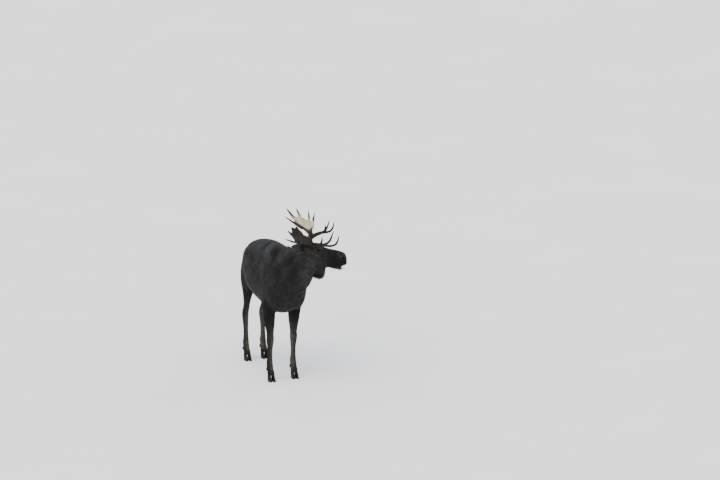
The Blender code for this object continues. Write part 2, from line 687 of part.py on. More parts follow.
def head_cuts(body):
    """Part head, lower jaw, bell and neck from the trunk."""
    nape = (head_point(0.012, 0.0, -0.20), head_direction(-0.97, 0.0, -0.24))
    under = (head_point(0.0, 0.0, -0.398), (0.0, 0.0, -1.0))
    head = part_off(body, "head", (nape, under))
    mouth = (head_point(0.40, 0.0, -0.302), head_direction(0.02, 0.0, 1.0))
    corner = (head_point(0.270, 0.0, -0.30), head_direction(-0.80, 0.0, 0.60))
    part_off(head, "lower_jaw", (mouth, corner))
    throat = (head_point(0.120, 0.0, -0.40), head_direction(-1.0, 0.0, -0.30))
    part_off(body, "bell", (throat, (head_point(0.0, 0.0, -0.3985), (0.0, 0.0, 1.0)),
                            (head_point(0.0, 0.0, -0.520), (0.0, 0.0, -1.0)),
                            (head_point(0.0, 0.160, 0.0), head_direction(0.0, 1.0, 0.0))))
    neck_plane = ((0.0, -0.690, 1.66), (0.08, 0.76, -0.65))
    neck = part_off(body, "neck", (neck_plane,))
    return head, neck


def feet(pieces):
    """Two toes and two dewclaws on each foot."""
    for name, foot_x, places in (("foreleg_", FORE_X, FORE_Y), ("hindleg_", HIND_X, HIND_Y)):
        back = 0.0 if name == "foreleg_" else -0.010
        for side, sign in SIDES.items():
            leg = pieces[name + side + "_lower"]
            foot_y = places[side] + back
            for toe_name, offset in (("outer", 1.0), ("inner", -1.0)):
                stem = name + side + "_"
                centre_x = foot_x[side] * sign + 0.0265 * offset * sign
                toe(stem + "hoof_" + toe_name, centre_x, foot_y, offset * sign)
                claw_x = foot_x[side] * sign + 0.022 * offset * sign
                dewclaw(stem + "dewclaw_" + toe_name, claw_x, foot_y, offset * sign, leg)


def set_origin(pieces):
    """Move the model so that its origin is on the floor under the middle of its box."""
    corners = np.array([tuple(corner) for piece in pieces for corner in
                        (vertex.co for vertex in piece.data.vertices)])
    low, high = corners.min(axis=0), corners.max(axis=0)
    middle = (low + high) / 2.0
    shift = Matrix.Translation((-middle[0], -middle[1], -low[2]))
    for piece in pieces:
        piece.data.transform(shift)


def main():
    """Build the moose in an empty scene."""
    for old in list(bpy.data.objects):
        bpy.data.objects.remove(old, do_unlink=True)
    body = flesh()
    head, neck = head_cuts(body)
    leg_cuts(body)
    for side in SIDES:
        ball = eye(side)
        boolean(head, grown(ball, GAP), "DIFFERENCE")
        fit_to(fit_to(ear(side), head), neck)
        antler(side, head)
    fit_to(tail(), body)
    feet(bpy.data.objects)
    pieces = [item for item in bpy.data.objects if item.type == "MESH"]
    set_origin(pieces)
    for piece in pieces:
        piece.data.shade_smooth()
        piece.data.set_sharp_from_angle(angle=math.radians(50.0))


main()
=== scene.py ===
"""A standing bull moose in its winter coat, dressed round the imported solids.

One skin takes the place of the parted flesh and lies inside it by the depth of the coat. Locks of
hair are laid over it as joined meshes, one piece for each part of the body. Eyes, antlers, hooves
and dewclaws are pieces of their own.
"""
import json
import math

import bmesh
import bpy
import numpy as np
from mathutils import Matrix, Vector
from mathutils.bvhtree import BVHTree

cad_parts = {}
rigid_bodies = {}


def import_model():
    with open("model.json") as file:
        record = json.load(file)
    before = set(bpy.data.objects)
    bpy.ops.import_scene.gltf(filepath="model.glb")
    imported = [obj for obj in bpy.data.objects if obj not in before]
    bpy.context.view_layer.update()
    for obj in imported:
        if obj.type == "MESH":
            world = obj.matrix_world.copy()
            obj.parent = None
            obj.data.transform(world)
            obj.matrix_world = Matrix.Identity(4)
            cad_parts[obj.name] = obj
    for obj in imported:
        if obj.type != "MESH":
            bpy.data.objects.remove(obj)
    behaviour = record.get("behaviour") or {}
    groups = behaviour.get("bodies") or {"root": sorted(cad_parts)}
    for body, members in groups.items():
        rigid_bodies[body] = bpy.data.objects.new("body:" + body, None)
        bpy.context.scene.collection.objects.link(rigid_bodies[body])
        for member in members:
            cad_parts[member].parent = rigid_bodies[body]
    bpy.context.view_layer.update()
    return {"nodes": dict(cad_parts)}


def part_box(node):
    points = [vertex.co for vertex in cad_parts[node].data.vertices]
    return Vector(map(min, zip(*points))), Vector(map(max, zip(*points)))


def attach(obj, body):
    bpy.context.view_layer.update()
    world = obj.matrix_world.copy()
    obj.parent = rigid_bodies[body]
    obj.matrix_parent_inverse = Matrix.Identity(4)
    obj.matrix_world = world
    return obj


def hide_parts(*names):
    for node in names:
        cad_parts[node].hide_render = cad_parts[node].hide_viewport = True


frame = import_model()

MM = 0.001
SIDES = {"left": 1.0, "right": -1.0}
LEGS = ("foreleg_left", "foreleg_right", "hindleg_left", "hindleg_right")

# ---------------------------------------------------------------- small helpers


def srgb(text):
    """Linear colour from an sRGB hex value."""
    values = [int(text[i:i + 2], 16) / 255.0 for i in (1, 3, 5)]
    linear = [v / 12.92 if v <= 0.04045 else ((v + 0.055) / 1.055) ** 2.4 for v in values]
    return (*linear, 1.0)


def smoothstep(low, high, value):
    """0 below low, 1 above high, smooth between; low may be the larger."""
    t = np.clip((value - low) / (high - low), 0.0, 1.0)
    return t * t * (3.0 - 2.0 * t)


def unit(vectors):
    """Rows scaled to length one."""
    return vectors / np.maximum(np.linalg.norm(vectors, axis=1), 1e-9)[:, None]


def centre_of(node):
    """Middle of a CAD node's box."""
    low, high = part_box(node)
    return (Vector(low) + Vector(high)) / 2.0


def deselect_all():
    """Nothing selected, nothing active."""
    for item in bpy.context.view_layer.objects:
        item.select_set(False)


def activate(item):
    """Only this object selected and active."""
    deselect_all()
    item.select_set(True)
    bpy.context.view_layer.objects.active = item


def apply_modifier(item, kind, **settings):
    """Add a modifier with its settings and apply it."""
    activate(item)
    modifier = item.modifiers.new(kind.lower(), kind)
    for key, value in settings.items():
        setattr(modifier, key, value)
    bpy.ops.object.modifier_apply(modifier=modifier.name)


def copy_node(node, name):
    """A merged copy of a CAD node's mesh as a new object."""
    source = frame["nodes"][node]
    item = bpy.data.objects.new(name, source.data.copy())
    bpy.context.scene.collection.objects.link(item)
    item.data.materials.clear()
    shape = bmesh.new()
    shape.from_mesh(item.data)
    bmesh.ops.remove_doubles(shape, verts=shape.verts, dist=0.00002)
    for face in shape.faces:
        face.smooth = True
    shape.to_mesh(item.data)
    shape.free()
    return item


def join(items, name):
    """Join objects into the first one."""
    activate(items[0])
    for item in items:
        item.select_set(True)
    bpy.ops.object.join()
    items[0].name = name
    return items[0]


def points_of(mesh):
    """Vertex places of a mesh as an array."""
    flat = np.empty(len(mesh.vertices) * 3)
    mesh.vertices.foreach_get("co", flat)
    return flat.reshape(-1, 3)


def normals_of(mesh):
    """Vertex normals of a mesh as an array."""
    flat = np.empty(len(mesh.vertices) * 3)
    mesh.vertex_normals.foreach_get("vector", flat)
    return flat.reshape(-1, 3)


def edges_of(mesh):
    """Edges of a mesh as pairs of vertex numbers."""
    flat = np.empty(len(mesh.edges) * 2, dtype=np.int64)
    mesh.edges.foreach_get("vertices", flat)
    return flat.reshape(-1, 2)


def set_points(mesh, points):
    """Give a mesh new vertex places."""
    mesh.vertices.foreach_set("co", points.ravel())
    mesh.update()


def neighbour_mean(values, edges):
    """Mean of each vertex's neighbours, for one or more columns of values."""
    number = len(values)
    degree = np.bincount(edges.ravel(), minlength=number)
    total = np.empty_like(values)
    for column in range(values.shape[1]):
        here = values[:, column]
        total[:, column] = (np.bincount(edges[:, 0], here[edges[:, 1]], number)
                            + np.bincount(edges[:, 1], here[edges[:, 0]], number))
    return total / np.maximum(degree, 1)[:, None]


def mesh_from_arrays(name, points, triangles):
    """A mesh object from arrays of places and triangles."""
    mesh = bpy.data.meshes.new(name)
    mesh.vertices.add(len(points))
    mesh.vertices.foreach_set("co", points.ravel())
    mesh.loops.add(triangles.size)
    mesh.loops.foreach_set("vertex_index", triangles.ravel().astype(np.int32))
    mesh.polygons.add(len(triangles))
    mesh.polygons.foreach_set("loop_start", np.arange(0, triangles.size, 3, dtype=np.int32))
    mesh.update(calc_edges=True)
    item = bpy.data.objects.new(name, mesh)
    bpy.context.scene.collection.objects.link(item)
    return item


# ---------------------------------------------------------------- the head's own frame
# the line through both eyes gives the head its outward axis; forward is level
EYE_FORWARD = 0.196          # the eyes, forward of the poll
EYE_UP = -0.082              # and below it
EYE_OUT = (centre_of("eye_left") - centre_of("eye_right")).length / 2.0
OUTWARD = (centre_of("eye_left") - centre_of("eye_right")).normalized()
FORWARD = OUTWARD.cross(Vector((0.0, 0.0, 1.0))).normalized()
UPWARD = FORWARD.cross(OUTWARD).normalized()
POLL = (centre_of("eye_left") + centre_of("eye_right")) / 2.0 - FORWARD * EYE_FORWARD - UPWARD * EYE_UP
HEAD_AXES = np.array([FORWARD, OUTWARD, UPWARD])
MOUTH_UP = -0.302            # level of the mouth line


def head_place(forward, outward, up, side="left"):
    """World place from the head's frame; outward is to the side named."""
    return POLL + FORWARD * forward + OUTWARD * (outward * SIDES[side]) + UPWARD * up


def head_way(forward, outward, up, side="left"):
    """World direction from the head's frame."""
    return FORWARD * forward + OUTWARD * (outward * SIDES[side]) + UPWARD * up


def in_head(points):
    """Places in the head's frame: forward, to the left, up."""
    return (points - np.array(POLL)) @ HEAD_AXES.T


# ---------------------------------------------------------------- materials
def add_node(tree, kind, settings=None, **links):
    """Add a node; settings fill its properties or sockets, links join its inputs."""
    node = tree.nodes.new(kind)
    for key, value in (settings or {}).items():
        if key in node.inputs:
            node.inputs[key].default_value = value
        elif isinstance(key, int):
            node.inputs[key].default_value = value
        else:
            setattr(node, key, value)
    for key, socket in links.items():
        name = int(key[1:]) if key[0] == "_" else key
        tree.links.new(socket, node.inputs[name])
    return node


def new_material(name, **sockets):
    """A material with one Principled shader; sockets are its constant values."""
    material = bpy.data.materials.new(name)
    material.use_nodes = True
    shader = material.node_tree.nodes["Principled BSDF"]
    for key, value in sockets.items():
        shader.inputs[key.replace("_", " ")].default_value = value
    return material, material.node_tree, shader


def ramp(tree, factor, *stops):
    """Colour ramp from (place, hex) stops."""
    node = add_node(tree, "ShaderNodeValToRGB", Fac=factor)
    elements = node.color_ramp.elements
    while len(elements) < len(stops):
        elements.new(0.5)
    for element, (place, colour) in zip(elements, stops):
        element.position = place
        element.color = srgb(colour)
    return node.outputs["Color"]


def mix(tree, factor, first, second, blend="MIX"):
    """Mix two colours; each is a socket or a hex value, factor a socket or a number."""
    node = add_node(tree, "ShaderNodeMix", {"data_type": "RGBA", "blend_type": blend})
    for slot, value in ((0, factor), (6, first), (7, second)):
        if isinstance(value, str):
            node.inputs[slot].default_value = srgb(value)
        elif isinstance(value, (int, float)):
            node.inputs[slot].default_value = value
        else:
            tree.links.new(value, node.inputs[slot])
    return node.outputs[2]


def noise(tree, vector, scale, detail=3.0, roughness=0.55):
    """Value of a noise pattern."""
    node = add_node(tree, "ShaderNodeTexNoise",
                    {"Scale": scale, "Detail": detail, "Roughness": roughness}, Vector=vector)
    return node.outputs["Fac"]


def object_place(tree):
    """Object coordinates, in metres."""
    return tree.nodes.new("ShaderNodeTexCoord").outputs["Object"]


def bump(tree, shader, height, strength, distance):
    """Join a height to the shader's normal."""
    node = add_node(tree, "ShaderNodeBump", {"Strength": strength, "Distance": distance}, Height=height)
    tree.links.new(node.outputs["Normal"], shader.inputs["Normal"])


# guard hair is charcoal brown; frosted tips are grey, and the same grey paints a sheen on the top of the
# muzzle; a warm brown shows round the neck and ears
HAIR_DARK = "#0b0a09"
HAIR_TIP = "#1f1c19"
HAIR_FROST_AND_SHEEN = "#68696c"
HAIR_WARM = "#30251c"
HAIR_PALE = "#857d74"


def hair_colour(tree, along, random):
    """Colour of the coat from its markings: frost, with painted shade and a painted sheen in the same channel,
    warmth and paleness.
    """
    marks = add_node(tree, "ShaderNodeAttribute", {"attribute_name": "markings"})
    parts = add_node(tree, "ShaderNodeSeparateColor", Color=marks.outputs["Color"])
    frost_and_painted_light, warm, pale = parts.outputs["Red"], parts.outputs["Green"], parts.outputs["Blue"]
    colour = mix(tree, along, HAIR_DARK, HAIR_TIP)
    colour = mix(tree, warm, colour, HAIR_WARM)
    colour = mix(tree, pale, colour, HAIR_PALE)
    tipped = add_node(tree, "ShaderNodeMath", {"operation": "MULTIPLY"}, _0=frost_and_painted_light, _1=along)
    colour = mix(tree, tipped.outputs["Value"], colour, HAIR_FROST_AND_SHEEN)
    shade = ramp(tree, random, (0.0, "#8f8f8f"), (1.0, "#ffffff"))
    return mix(tree, 1.0, colour, shade, "MULTIPLY")


def coat_material():
    """Locks of guard hair: dry keratin, each lock streaked along its length."""
    material, tree, shader = new_material("Moose winter guard hair", Roughness=0.60,
                                          Specular_IOR_Level=0.16)
    marks = add_node(tree, "ShaderNodeAttribute", {"attribute_name": "lock"})
    parts = add_node(tree, "ShaderNodeSeparateColor", Color=marks.outputs["Color"])
    across = add_node(tree, "ShaderNodeUVMap", {"uv_map": "OFBake"})
    # a lock's patch is 3 thousandths wide; five streaks cross it and run most of its length
    stretched = add_node(tree, "ShaderNodeMapping", {"Scale": (1700.0, 160.0, 1.0)},
                         Vector=across.outputs["UV"])
    streak = noise(tree, stretched.outputs["Vector"], 1.0, detail=1.0)
    colour = hair_colour(tree, parts.outputs["Red"], parts.outputs["Green"])
    colour = mix(tree, 0.55, colour, ramp(tree, streak, (0.3, "#6a6a6a"), (0.7, "#ffffff")), "MULTIPLY")
    tree.links.new(colour, shader.inputs["Base Color"])
    bump(tree, shader, streak, 0.5, 0.0015)
    return material


def skin_material():
    """Short fur and underfur close to the hide, with bare dark hide where the markings say so."""
    material, tree, shader = new_material("Moose hide with short fur", Specular_IOR_Level=0.18)
    place = object_place(tree)
    # hairs lie mostly downwards, so the grain is 2 mm across and four times that along
    stretched = add_node(tree, "ShaderNodeMapping", {"Scale": (1.0, 1.0, 0.35)}, Vector=place)
    grain = noise(tree, stretched.outputs["Vector"], 1.0 / (3.0 * MM), detail=4.0, roughness=0.7)
    patch = noise(tree, place, 1.0 / (60.0 * MM), detail=2.0)
    colour = hair_colour(tree, ramp(tree, grain, (0.35, "#1c1c1c"), (0.7, "#b0b0b0")), patch)
    marks = add_node(tree, "ShaderNodeAttribute", {"attribute_name": "bare"})
    colour = mix(tree, marks.outputs["Fac"], colour, "#090807")
    tree.links.new(colour, shader.inputs["Base Color"])
    gloss = ramp(tree, marks.outputs["Fac"], (0.0, "#d8d8d8"), (1.0, "#b4b4b4"))
    tree.links.new(gloss, shader.inputs["Roughness"])
    bump(tree, shader, grain, 0.6, 0.004)
    return material


def antler_material():
    """Grown bone, stained brown by bark; pale on the hollow face of the palm, partly the bone's own tone and
    partly painted light where the sky falls on it, and a little paler on the ridges.
    """
    material, tree, shader = new_material("Moose antler bone", Roughness=0.65, Specular_IOR_Level=0.12)
    place = object_place(tree)
    broad = noise(tree, place, 1.0 / (70.0 * MM), detail=3.0)
    grain = noise(tree, place, 1.0 / (7.0 * MM), detail=5.0, roughness=0.65)
    pits = add_node(tree, "ShaderNodeTexVoronoi", {"Scale": 1.0 / (12.0 * MM)}, Vector=place)
    colour = ramp(tree, broad, (0.25, "#1a1411"), (0.5, "#2a211c"), (0.8, "#3d322b"))
    colour = mix(tree, 0.6, colour, ramp(tree, grain, (0.35, "#6d6d6d"), (0.65, "#ffffff")), "MULTIPLY")
    marks = add_node(tree, "ShaderNodeAttribute", {"attribute_name": "pale_and_sky_lit"})
    parts = add_node(tree, "ShaderNodeSeparateColor", Color=marks.outputs["Color"])
    # pale bone on the hollow face, partly painted light on the side that faces the sky
    colour = mix(tree, parts.outputs["Red"], colour, "#b9ad97")
    colour = mix(tree, parts.outputs["Green"], colour, "#150f0a")
    tree.links.new(colour, shader.inputs["Base Color"])
    height = mix(tree, 0.5, grain, pits.outputs["Distance"])
    bump(tree, shader, height, 0.55, 0.003)
    return material


def hoof_material():
    """Hoof horn: dark keratin with faint growth rings, scuffed dull."""
    material, tree, shader = new_material("Moose hoof horn", Roughness=0.55, Specular_IOR_Level=0.18)
    place = object_place(tree)
    rings = add_node(tree, "ShaderNodeTexWave", {"bands_direction": "Z", "Scale": 0.32 / (7.0 * MM),
                                                 "Distortion": 4.0, "Detail": 3.0, "Detail Scale": 1.2},
                     Vector=place)
    # fine tubules run down the wall, about 1 mm apart
    stretched = add_node(tree, "ShaderNodeMapping", {"Scale": (1.0, 1.0, 0.08)}, Vector=place)
    tubules = noise(tree, stretched.outputs["Vector"], 1.0 / (1.6 * MM), detail=2.0)
    broad = noise(tree, place, 1.0 / (18.0 * MM))
    colour = ramp(tree, broad, (0.3, "#0f0c0a"), (0.75, "#241d17"))
    colour = mix(tree, 0.35, colour, ramp(tree, tubules, (0.35, "#7a7a7a"), (0.7, "#ffffff")), "MULTIPLY")
    tree.links.new(colour, shader.inputs["Base Color"])
    height = mix(tree, 0.6, rings.outputs["Fac"], tubules)
    bump(tree, shader, height, 0.20, 0.0008)
    return material


def eye_material():
    """Wet eye: near-black brown iris round a level oval pupil, under a thin film of water."""
    material, tree, shader = new_material("Eye", Roughness=0.05, IOR=1.37, Specular_IOR_Level=0.12)
    marks = add_node(tree, "ShaderNodeAttribute", {"attribute_name": "pupil"})
    fibres = noise(tree, object_place(tree), 1.0 / (1.5 * MM), detail=3.0)
    # the attribute is the reach from the middle of the pupil over four, so its rim lies at a quarter
    colour = ramp(tree, marks.outputs["Fac"], (0.23, "#020202"), (0.27, "#170e08"), (0.46, "#1c120a"),
                  (0.56, "#070505"))
    colour = mix(tree, 0.5, colour, ramp(tree, fibres, (0.3, "#7a7a7a"), (0.7, "#ffffff")), "MULTIPLY")
    tree.links.new(colour, shader.inputs["Base Color"])
    return material


def floor_material():
    """Matt pale studio floor."""
    material, tree, shader = new_material("Matt studio floor", Roughness=0.9)
    cloud = noise(tree, object_place(tree), 0.6, detail=2.0)
    tree.links.new(ramp(tree, cloud, (0.3, "#f0f1f4"), (0.7, "#f4f5f7")), shader.inputs["Base Color"])
    return material


# ---------------------------------------------------------------- camera, light and floor
VIEW_AZIMUTH = math.radians(-19.0)
VIEW_ELEVATION = math.radians(14.0)
VIEW_DISTANCE = 200.0                # far enough that near and far legs keep one scale
VIEW_WIDTH = 720.0 / 70.0            # metres of the moose's own plane across the frame
AIM = Vector((0.860, -0.4935, 2.033))


def add_camera():
    """A long lens far off, a little above the animal and to its right front."""
    data = bpy.data.cameras.new("camera")
    data.sensor_width = 36.0
    data.lens = data.sensor_width * VIEW_DISTANCE / VIEW_WIDTH
    data.clip_end = 3000.0
    camera = bpy.data.objects.new("camera", data)
    bpy.context.scene.collection.objects.link(camera)
    back = Vector((math.sin(VIEW_AZIMUTH) * math.cos(VIEW_ELEVATION),
                   -math.cos(VIEW_AZIMUTH) * math.cos(VIEW_ELEVATION), math.sin(VIEW_ELEVATION)))
    camera.location = AIM + back * VIEW_DISTANCE
    camera.rotation_euler = (-back).to_track_quat("-Z", "Y").to_euler()
    bpy.context.scene.camera = camera


def add_soft_light(name, toward, strength, spread, colour="#ffffff"):
    """A far light as wide as its spread, in degrees, that falls evenly over floor and animal."""
    data = bpy.data.lights.new(name, "SUN")
    data.energy = strength
    data.angle = math.radians(spread)
    data.color = srgb(colour)[:3]
    light = bpy.data.objects.new(name, data)
    light.rotation_euler = Vector(toward).to_track_quat("-Z", "Y").to_euler()
    bpy.context.scene.collection.objects.link(light)


def add_studio():
    """Pale floor, bright even surround and two wide soft lights."""
    deselect_all()
    bpy.ops.mesh.primitive_plane_add(size=1600.0, location=(0.0, 0.0, 0.0))
    floor = bpy.context.active_object
    floor.name = "floor"
    bpy.ops.object.mode_set(mode="EDIT")
    bpy.ops.mesh.subdivide(number_cuts=5)
    bpy.ops.object.mode_set(mode="OBJECT")
    floor.data.materials.append(floor_material())
    world = bpy.data.worlds.new("overcast")
    world.use_nodes = True
    sky = world.node_tree.nodes["Background"]
    sky.inputs["Color"].default_value = srgb("#eef1f6")
    sky.inputs["Strength"].default_value = 1.35
    bpy.context.scene.world = world
    add_soft_light("key", (0.55, 0.62, -1.0), 2.9, 60.0, "#fffaf2")
    add_soft_light("back", (0.25, -0.80, -1.0), 0.7, 70.0, "#f2f6ff")


# ---------------------------------------------------------------- the skin
BODY_NODES = ["trunk", "neck", "head", "lower_jaw", "bell", "tail"]
BODY_NODES += [leg + part for leg in LEGS for part in ("_upper", "_lower")]
EAR_NODES = ["ear_left", "ear_right"]
FLESH = BODY_NODES + EAR_NODES
SKIN_VOXEL = 6.0 * MM
SKIN_BODY_SHARE = 0.16       # faces kept on the body, where long hair hides the skin
EAR_VOXEL = 3.2 * MM


def grow(item, amount):
    """Move a surface outward, so that parted pieces touch again."""
    apply_modifier(item, "DISPLACE", strength=amount, mid_level=0.0)


def voxel(item, size):
    """Fuse the shells of an object into one."""
    apply_modifier(item, "REMESH", mode="VOXEL", voxel_size=size, adaptivity=0.0)


def soften(mesh, rounds, weight=None):
    """Round off the flats of the solids; weight says how much, vertex by vertex."""
    points, edges = points_of(mesh), edges_of(mesh)
    share = 0.5 if weight is None else 0.5 * weight[:, None]
    for _ in range(rounds):
        points += share * (neighbour_mean(points, edges) - points)
    set_points(mesh, points)


def face_weight(points):
    """1 on the face, 0 on the body."""
    place = in_head(points)
    return smoothstep(-0.02, 0.06, place[:, 0]) * smoothstep(-0.47, -0.42, place[:, 2])


def fold_weight(points):
    """1 on the trunk and neck, where thick hair bridges the folds; 0 on face, bell, tail and legs."""
    bell = np.linalg.norm(points - np.array(centre_of("bell")), axis=1)
    tail = np.linalg.norm(points - np.array(centre_of("tail")), axis=1)
    weight = smoothstep(1.02, 1.20, points[:, 2]) * (1.0 - face_weight(points))
    return weight * smoothstep(0.14, 0.26, bell) * smoothstep(0.13, 0.22, tail)


def nose_weight(points):
    """1 on the front of the muzzle."""
    return smoothstep(0.485, 0.555, in_head(points)[:, 0])


def thin_out_body(skin):
    """Fewer faces under the long hair; the face keeps all of its own."""
    group = skin.vertex_groups.new(name="body")
    weights = 1.0 - face_weight(points_of(skin.data))
    for level in (0.5, 1.0):
        chosen = np.nonzero(weights >= level - 0.25)[0].tolist()
        group.add(chosen, level, "REPLACE")
    apply_modifier(skin, "DECIMATE", ratio=SKIN_BODY_SHARE, vertex_group="body", use_collapse_triangulate=True)
    skin.vertex_groups.clear()


def refine(skin, chosen):
    """Split the faces whose middle is chosen."""
    shape = bmesh.new()
    shape.from_mesh(skin.data)
    middles = np.array([face.calc_center_median() for face in shape.faces])
    picked = chosen(in_head(middles))
    faces = [face for face, pick in zip(shape.faces, picked) if pick]
    edges = list({edge for face in faces for edge in face.edges})
    bmesh.ops.subdivide_edges(shape, edges=edges, cuts=1, use_grid_fill=True)
    bmesh.ops.triangulate(shape, faces=[face for face in shape.faces if len(face.verts) > 4])
    shape.to_mesh(skin.data)
    shape.free()


def near_features(place):
    """The regions of the eyes, the nostrils and the lips."""
    forward, out, up = place[:, 0], np.abs(place[:, 1]), place[:, 2]
    eye = (forward - EYE_FORWARD) ** 2 + (up - EYE_UP) ** 2 < 0.040 ** 2
    eye &= out > 0.060
    nose = (forward > 0.510) & (up < -0.145) & (up > -0.345)
    lips = (forward > 0.280) & (np.abs(up - MOUTH_UP) < 0.014)
    return eye | nose | lips


def eye_distance(place):
    """Distance from the middle of the nearer eye, seen from the side."""
    return np.hypot(place[:, 0] - EYE_FORWARD, place[:, 2] - EYE_UP) + 9.0 * (np.abs(place[:, 1]) < 0.055)


def near_rims(place):
    """The lids, the rims of the nostrils and the fold between the lips."""
    lips = (place[:, 0] > 0.290) & (np.abs(place[:, 2] - mouth_level(place[:, 0])) < 0.007)
    nostrils = (nostril_reach(place) < 1.7) & (place[:, 0] > 0.49)
    return (eye_distance(place) < 0.031) | nostrils | lips


def near_lids(place):
    """The lids alone."""
    return eye_distance(place) < 0.027


# places in the head's frame
EYE_RADIUS = 20.5 * MM
LID_THICK = 2.6 * MM
EYE_HALF_LENGTH = 21.0 * MM
EYE_HALF_HEIGHT = 11.5 * MM
EYE_TILT = math.radians(-14.0)       # the front corner is the lower one
NOSTRIL = np.array((0.548, 0.074, -0.206))
NOSTRIL_FACING = np.array((0.42, 0.88, -0.18))
NOSTRIL_LONG = np.array((-0.42, 0.10, 0.90))
NOSTRIL_HALF_LENGTH = 36.0 * MM
NOSTRIL_HALF_WIDTH = 15.5 * MM


def almond(place):
    """1 on the rim of the opening between the lids, less inside it; and the place in the eye's plane."""
    along, up = place[:, 0] - EYE_FORWARD, place[:, 2] - EYE_UP
    front = along * math.cos(EYE_TILT) + up * math.sin(EYE_TILT)
    rise = up * math.cos(EYE_TILT) - along * math.sin(EYE_TILT)
    arch = np.where(rise > 0.0, 1.0, 0.82)
    narrow = np.clip(1.0 - (np.abs(front) / (EYE_HALF_LENGTH * 1.12)) ** 2, 0.05, 1.0) ** 0.35
    return np.hypot(front / EYE_HALF_LENGTH, rise / (EYE_HALF_HEIGHT * arch * narrow)), along, up


def nostril_reach(place):
    """1 on the rim of the nostril, less inside it."""
    mirrored = np.column_stack([place[:, 0], np.abs(place[:, 1]), place[:, 2]])
    facing = NOSTRIL_FACING / np.linalg.norm(NOSTRIL_FACING)
    long_way = NOSTRIL_LONG - facing * (NOSTRIL_LONG @ facing)
    long_way /= np.linalg.norm(long_way)
    wide_way = np.cross(facing, long_way)
    offset = mirrored - NOSTRIL
    lengthwise, depth = offset @ long_way, offset @ facing
    bent = offset @ wide_way - 0.22 * lengthwise ** 2 / NOSTRIL_HALF_LENGTH
    taper = np.clip(1.0 - 0.45 * lengthwise / NOSTRIL_HALF_LENGTH, 0.3, 1.5)
    reach = np.hypot(lengthwise / NOSTRIL_HALF_LENGTH, bent / (NOSTRIL_HALF_WIDTH * taper))
    return np.where(np.abs(depth) < 0.045, reach, 9.0)


def mouth_level(forward):
    """Height of the line between the lips: it dips under the nose and rises at the corner."""
    return MOUTH_UP - 0.013 * smoothstep(0.45, 0.57, forward) + 0.012 * smoothstep(0.36, 0.28, forward)


def lip_line(place, half_width=4.5 * MM):
    """1 in the fold between the lips, falling to 0 on either side."""
    here = np.exp(-((place[:, 2] - mouth_level(place[:, 0])) / half_width) ** 2)
    return here * smoothstep(0.285, 0.315, place[:, 0])


def part_hams(mesh):
    """A furrow from under the tail that widens into the arch between the hind legs."""
    points = points_of(mesh)
    half_width = 0.045 + 0.055 * smoothstep(1.30, 1.05, points[:, 2])
    across = (points[:, 0] - LEGS_MIDDLE) / half_width
    furrow = np.exp(-across ** 2) * smoothstep(1.46, 1.30, points[:, 2]) * smoothstep(0.60, 0.80, points[:, 1])
    furrow *= smoothstep(0.92, 1.02, points[:, 2])
    set_points(mesh, points + furrow[:, None] * np.array((0.0, -0.075, 0.070)))


def sculpt_face(mesh):
    """Lids, nostrils, lips and the folds of the face."""
    points, normals = points_of(mesh), normals_of(mesh)
    place = in_head(points)
    forward, out, up = place.T
    side = np.sign(out)
    reach = nostril_reach(place)
    near_nose = forward > 0.49
    push = np.zeros(len(points))
    push -= 20.0 * MM * (1.0 - smoothstep(0.40, 1.0, reach)) * near_nose
    push += 4.0 * MM * np.exp(-((reach - 1.36) / 0.32) ** 2) * near_nose
    push -= 8.0 * MM * lip_line(place)
    above, below = up - mouth_level(forward) - 14.0 * MM, up - mouth_level(forward) + 12.0 * MM
    push += 4.5 * MM * np.exp(-(above / (13.0 * MM)) ** 2) * smoothstep(0.42, 0.54, forward)
    push += 1.6 * MM * np.exp(-(below / (8.0 * MM)) ** 2) * smoothstep(0.36, 0.45, forward)
    cleft = np.exp(-(out / (5.0 * MM)) ** 2) * smoothstep(0.565, 0.585, forward) * smoothstep(-0.20, -0.23, up)
    push -= 2.5 * MM * cleft
    creases = np.sin((forward * 1.0 + up * 0.9) / (7.5 * MM)) * smoothstep(0.45, 0.52, forward)
    push += 0.5 * MM * creases * smoothstep(-0.20, -0.26, up)
    gland = np.hypot(forward - 0.238, up + 0.104) / (11.0 * MM)
    push -= 3.0 * MM * np.exp(-gland ** 2) * (np.abs(out) > 0.05)
    points += normals * push[:, None]
    # the upper lip hangs over the lower one in front
    tucked = smoothstep(0.47, 0.57, forward) * smoothstep(0.0, 12.0 * MM, mouth_level(forward) - up)
    points -= np.array(FORWARD) * (17.0 * MM * tucked)[:, None]
    place = in_head(points)
    rim, along, rise = almond(place)
    radius = np.hypot(along, rise)
    at_eye = (np.abs(place[:, 1]) > 0.055) & (radius < 0.040)
    stretch = np.where(at_eye & (rim > 0.72) & (rim < 1.0), 1.0 / np.maximum(rim, 0.1), 1.0)
    along, rise = along * stretch, rise * stretch
    radius = np.hypot(along, rise)
    shell = EYE_RADIUS + LID_THICK
    lid = EYE_OUT + np.sqrt(np.maximum(shell ** 2 - radius ** 2, 0.0))
    cover = smoothstep(shell * 1.45, shell * 0.96, radius)
    fold = -1.7 * MM * np.exp(-((rim - 1.75) / 0.22) ** 2) * (rise > 0.0)
    target = np.maximum(lid, EYE_OUT) + fold
    current = np.abs(place[:, 1])
    raised = current + (np.maximum(target, current) - current) * cover
    raised = np.where(radius < shell * 0.97, target, raised)
    raised = np.where(rim < 0.72, EYE_OUT - 4.0 * MM, raised)
    place[:, 0] = np.where(at_eye, EYE_FORWARD + along, place[:, 0])
    place[:, 2] = np.where(at_eye, EYE_UP + rise, place[:, 2])
    place[:, 1] = np.where(at_eye, raised * side, place[:, 1])
    set_points(mesh, place @ HEAD_AXES + np.array(POLL))


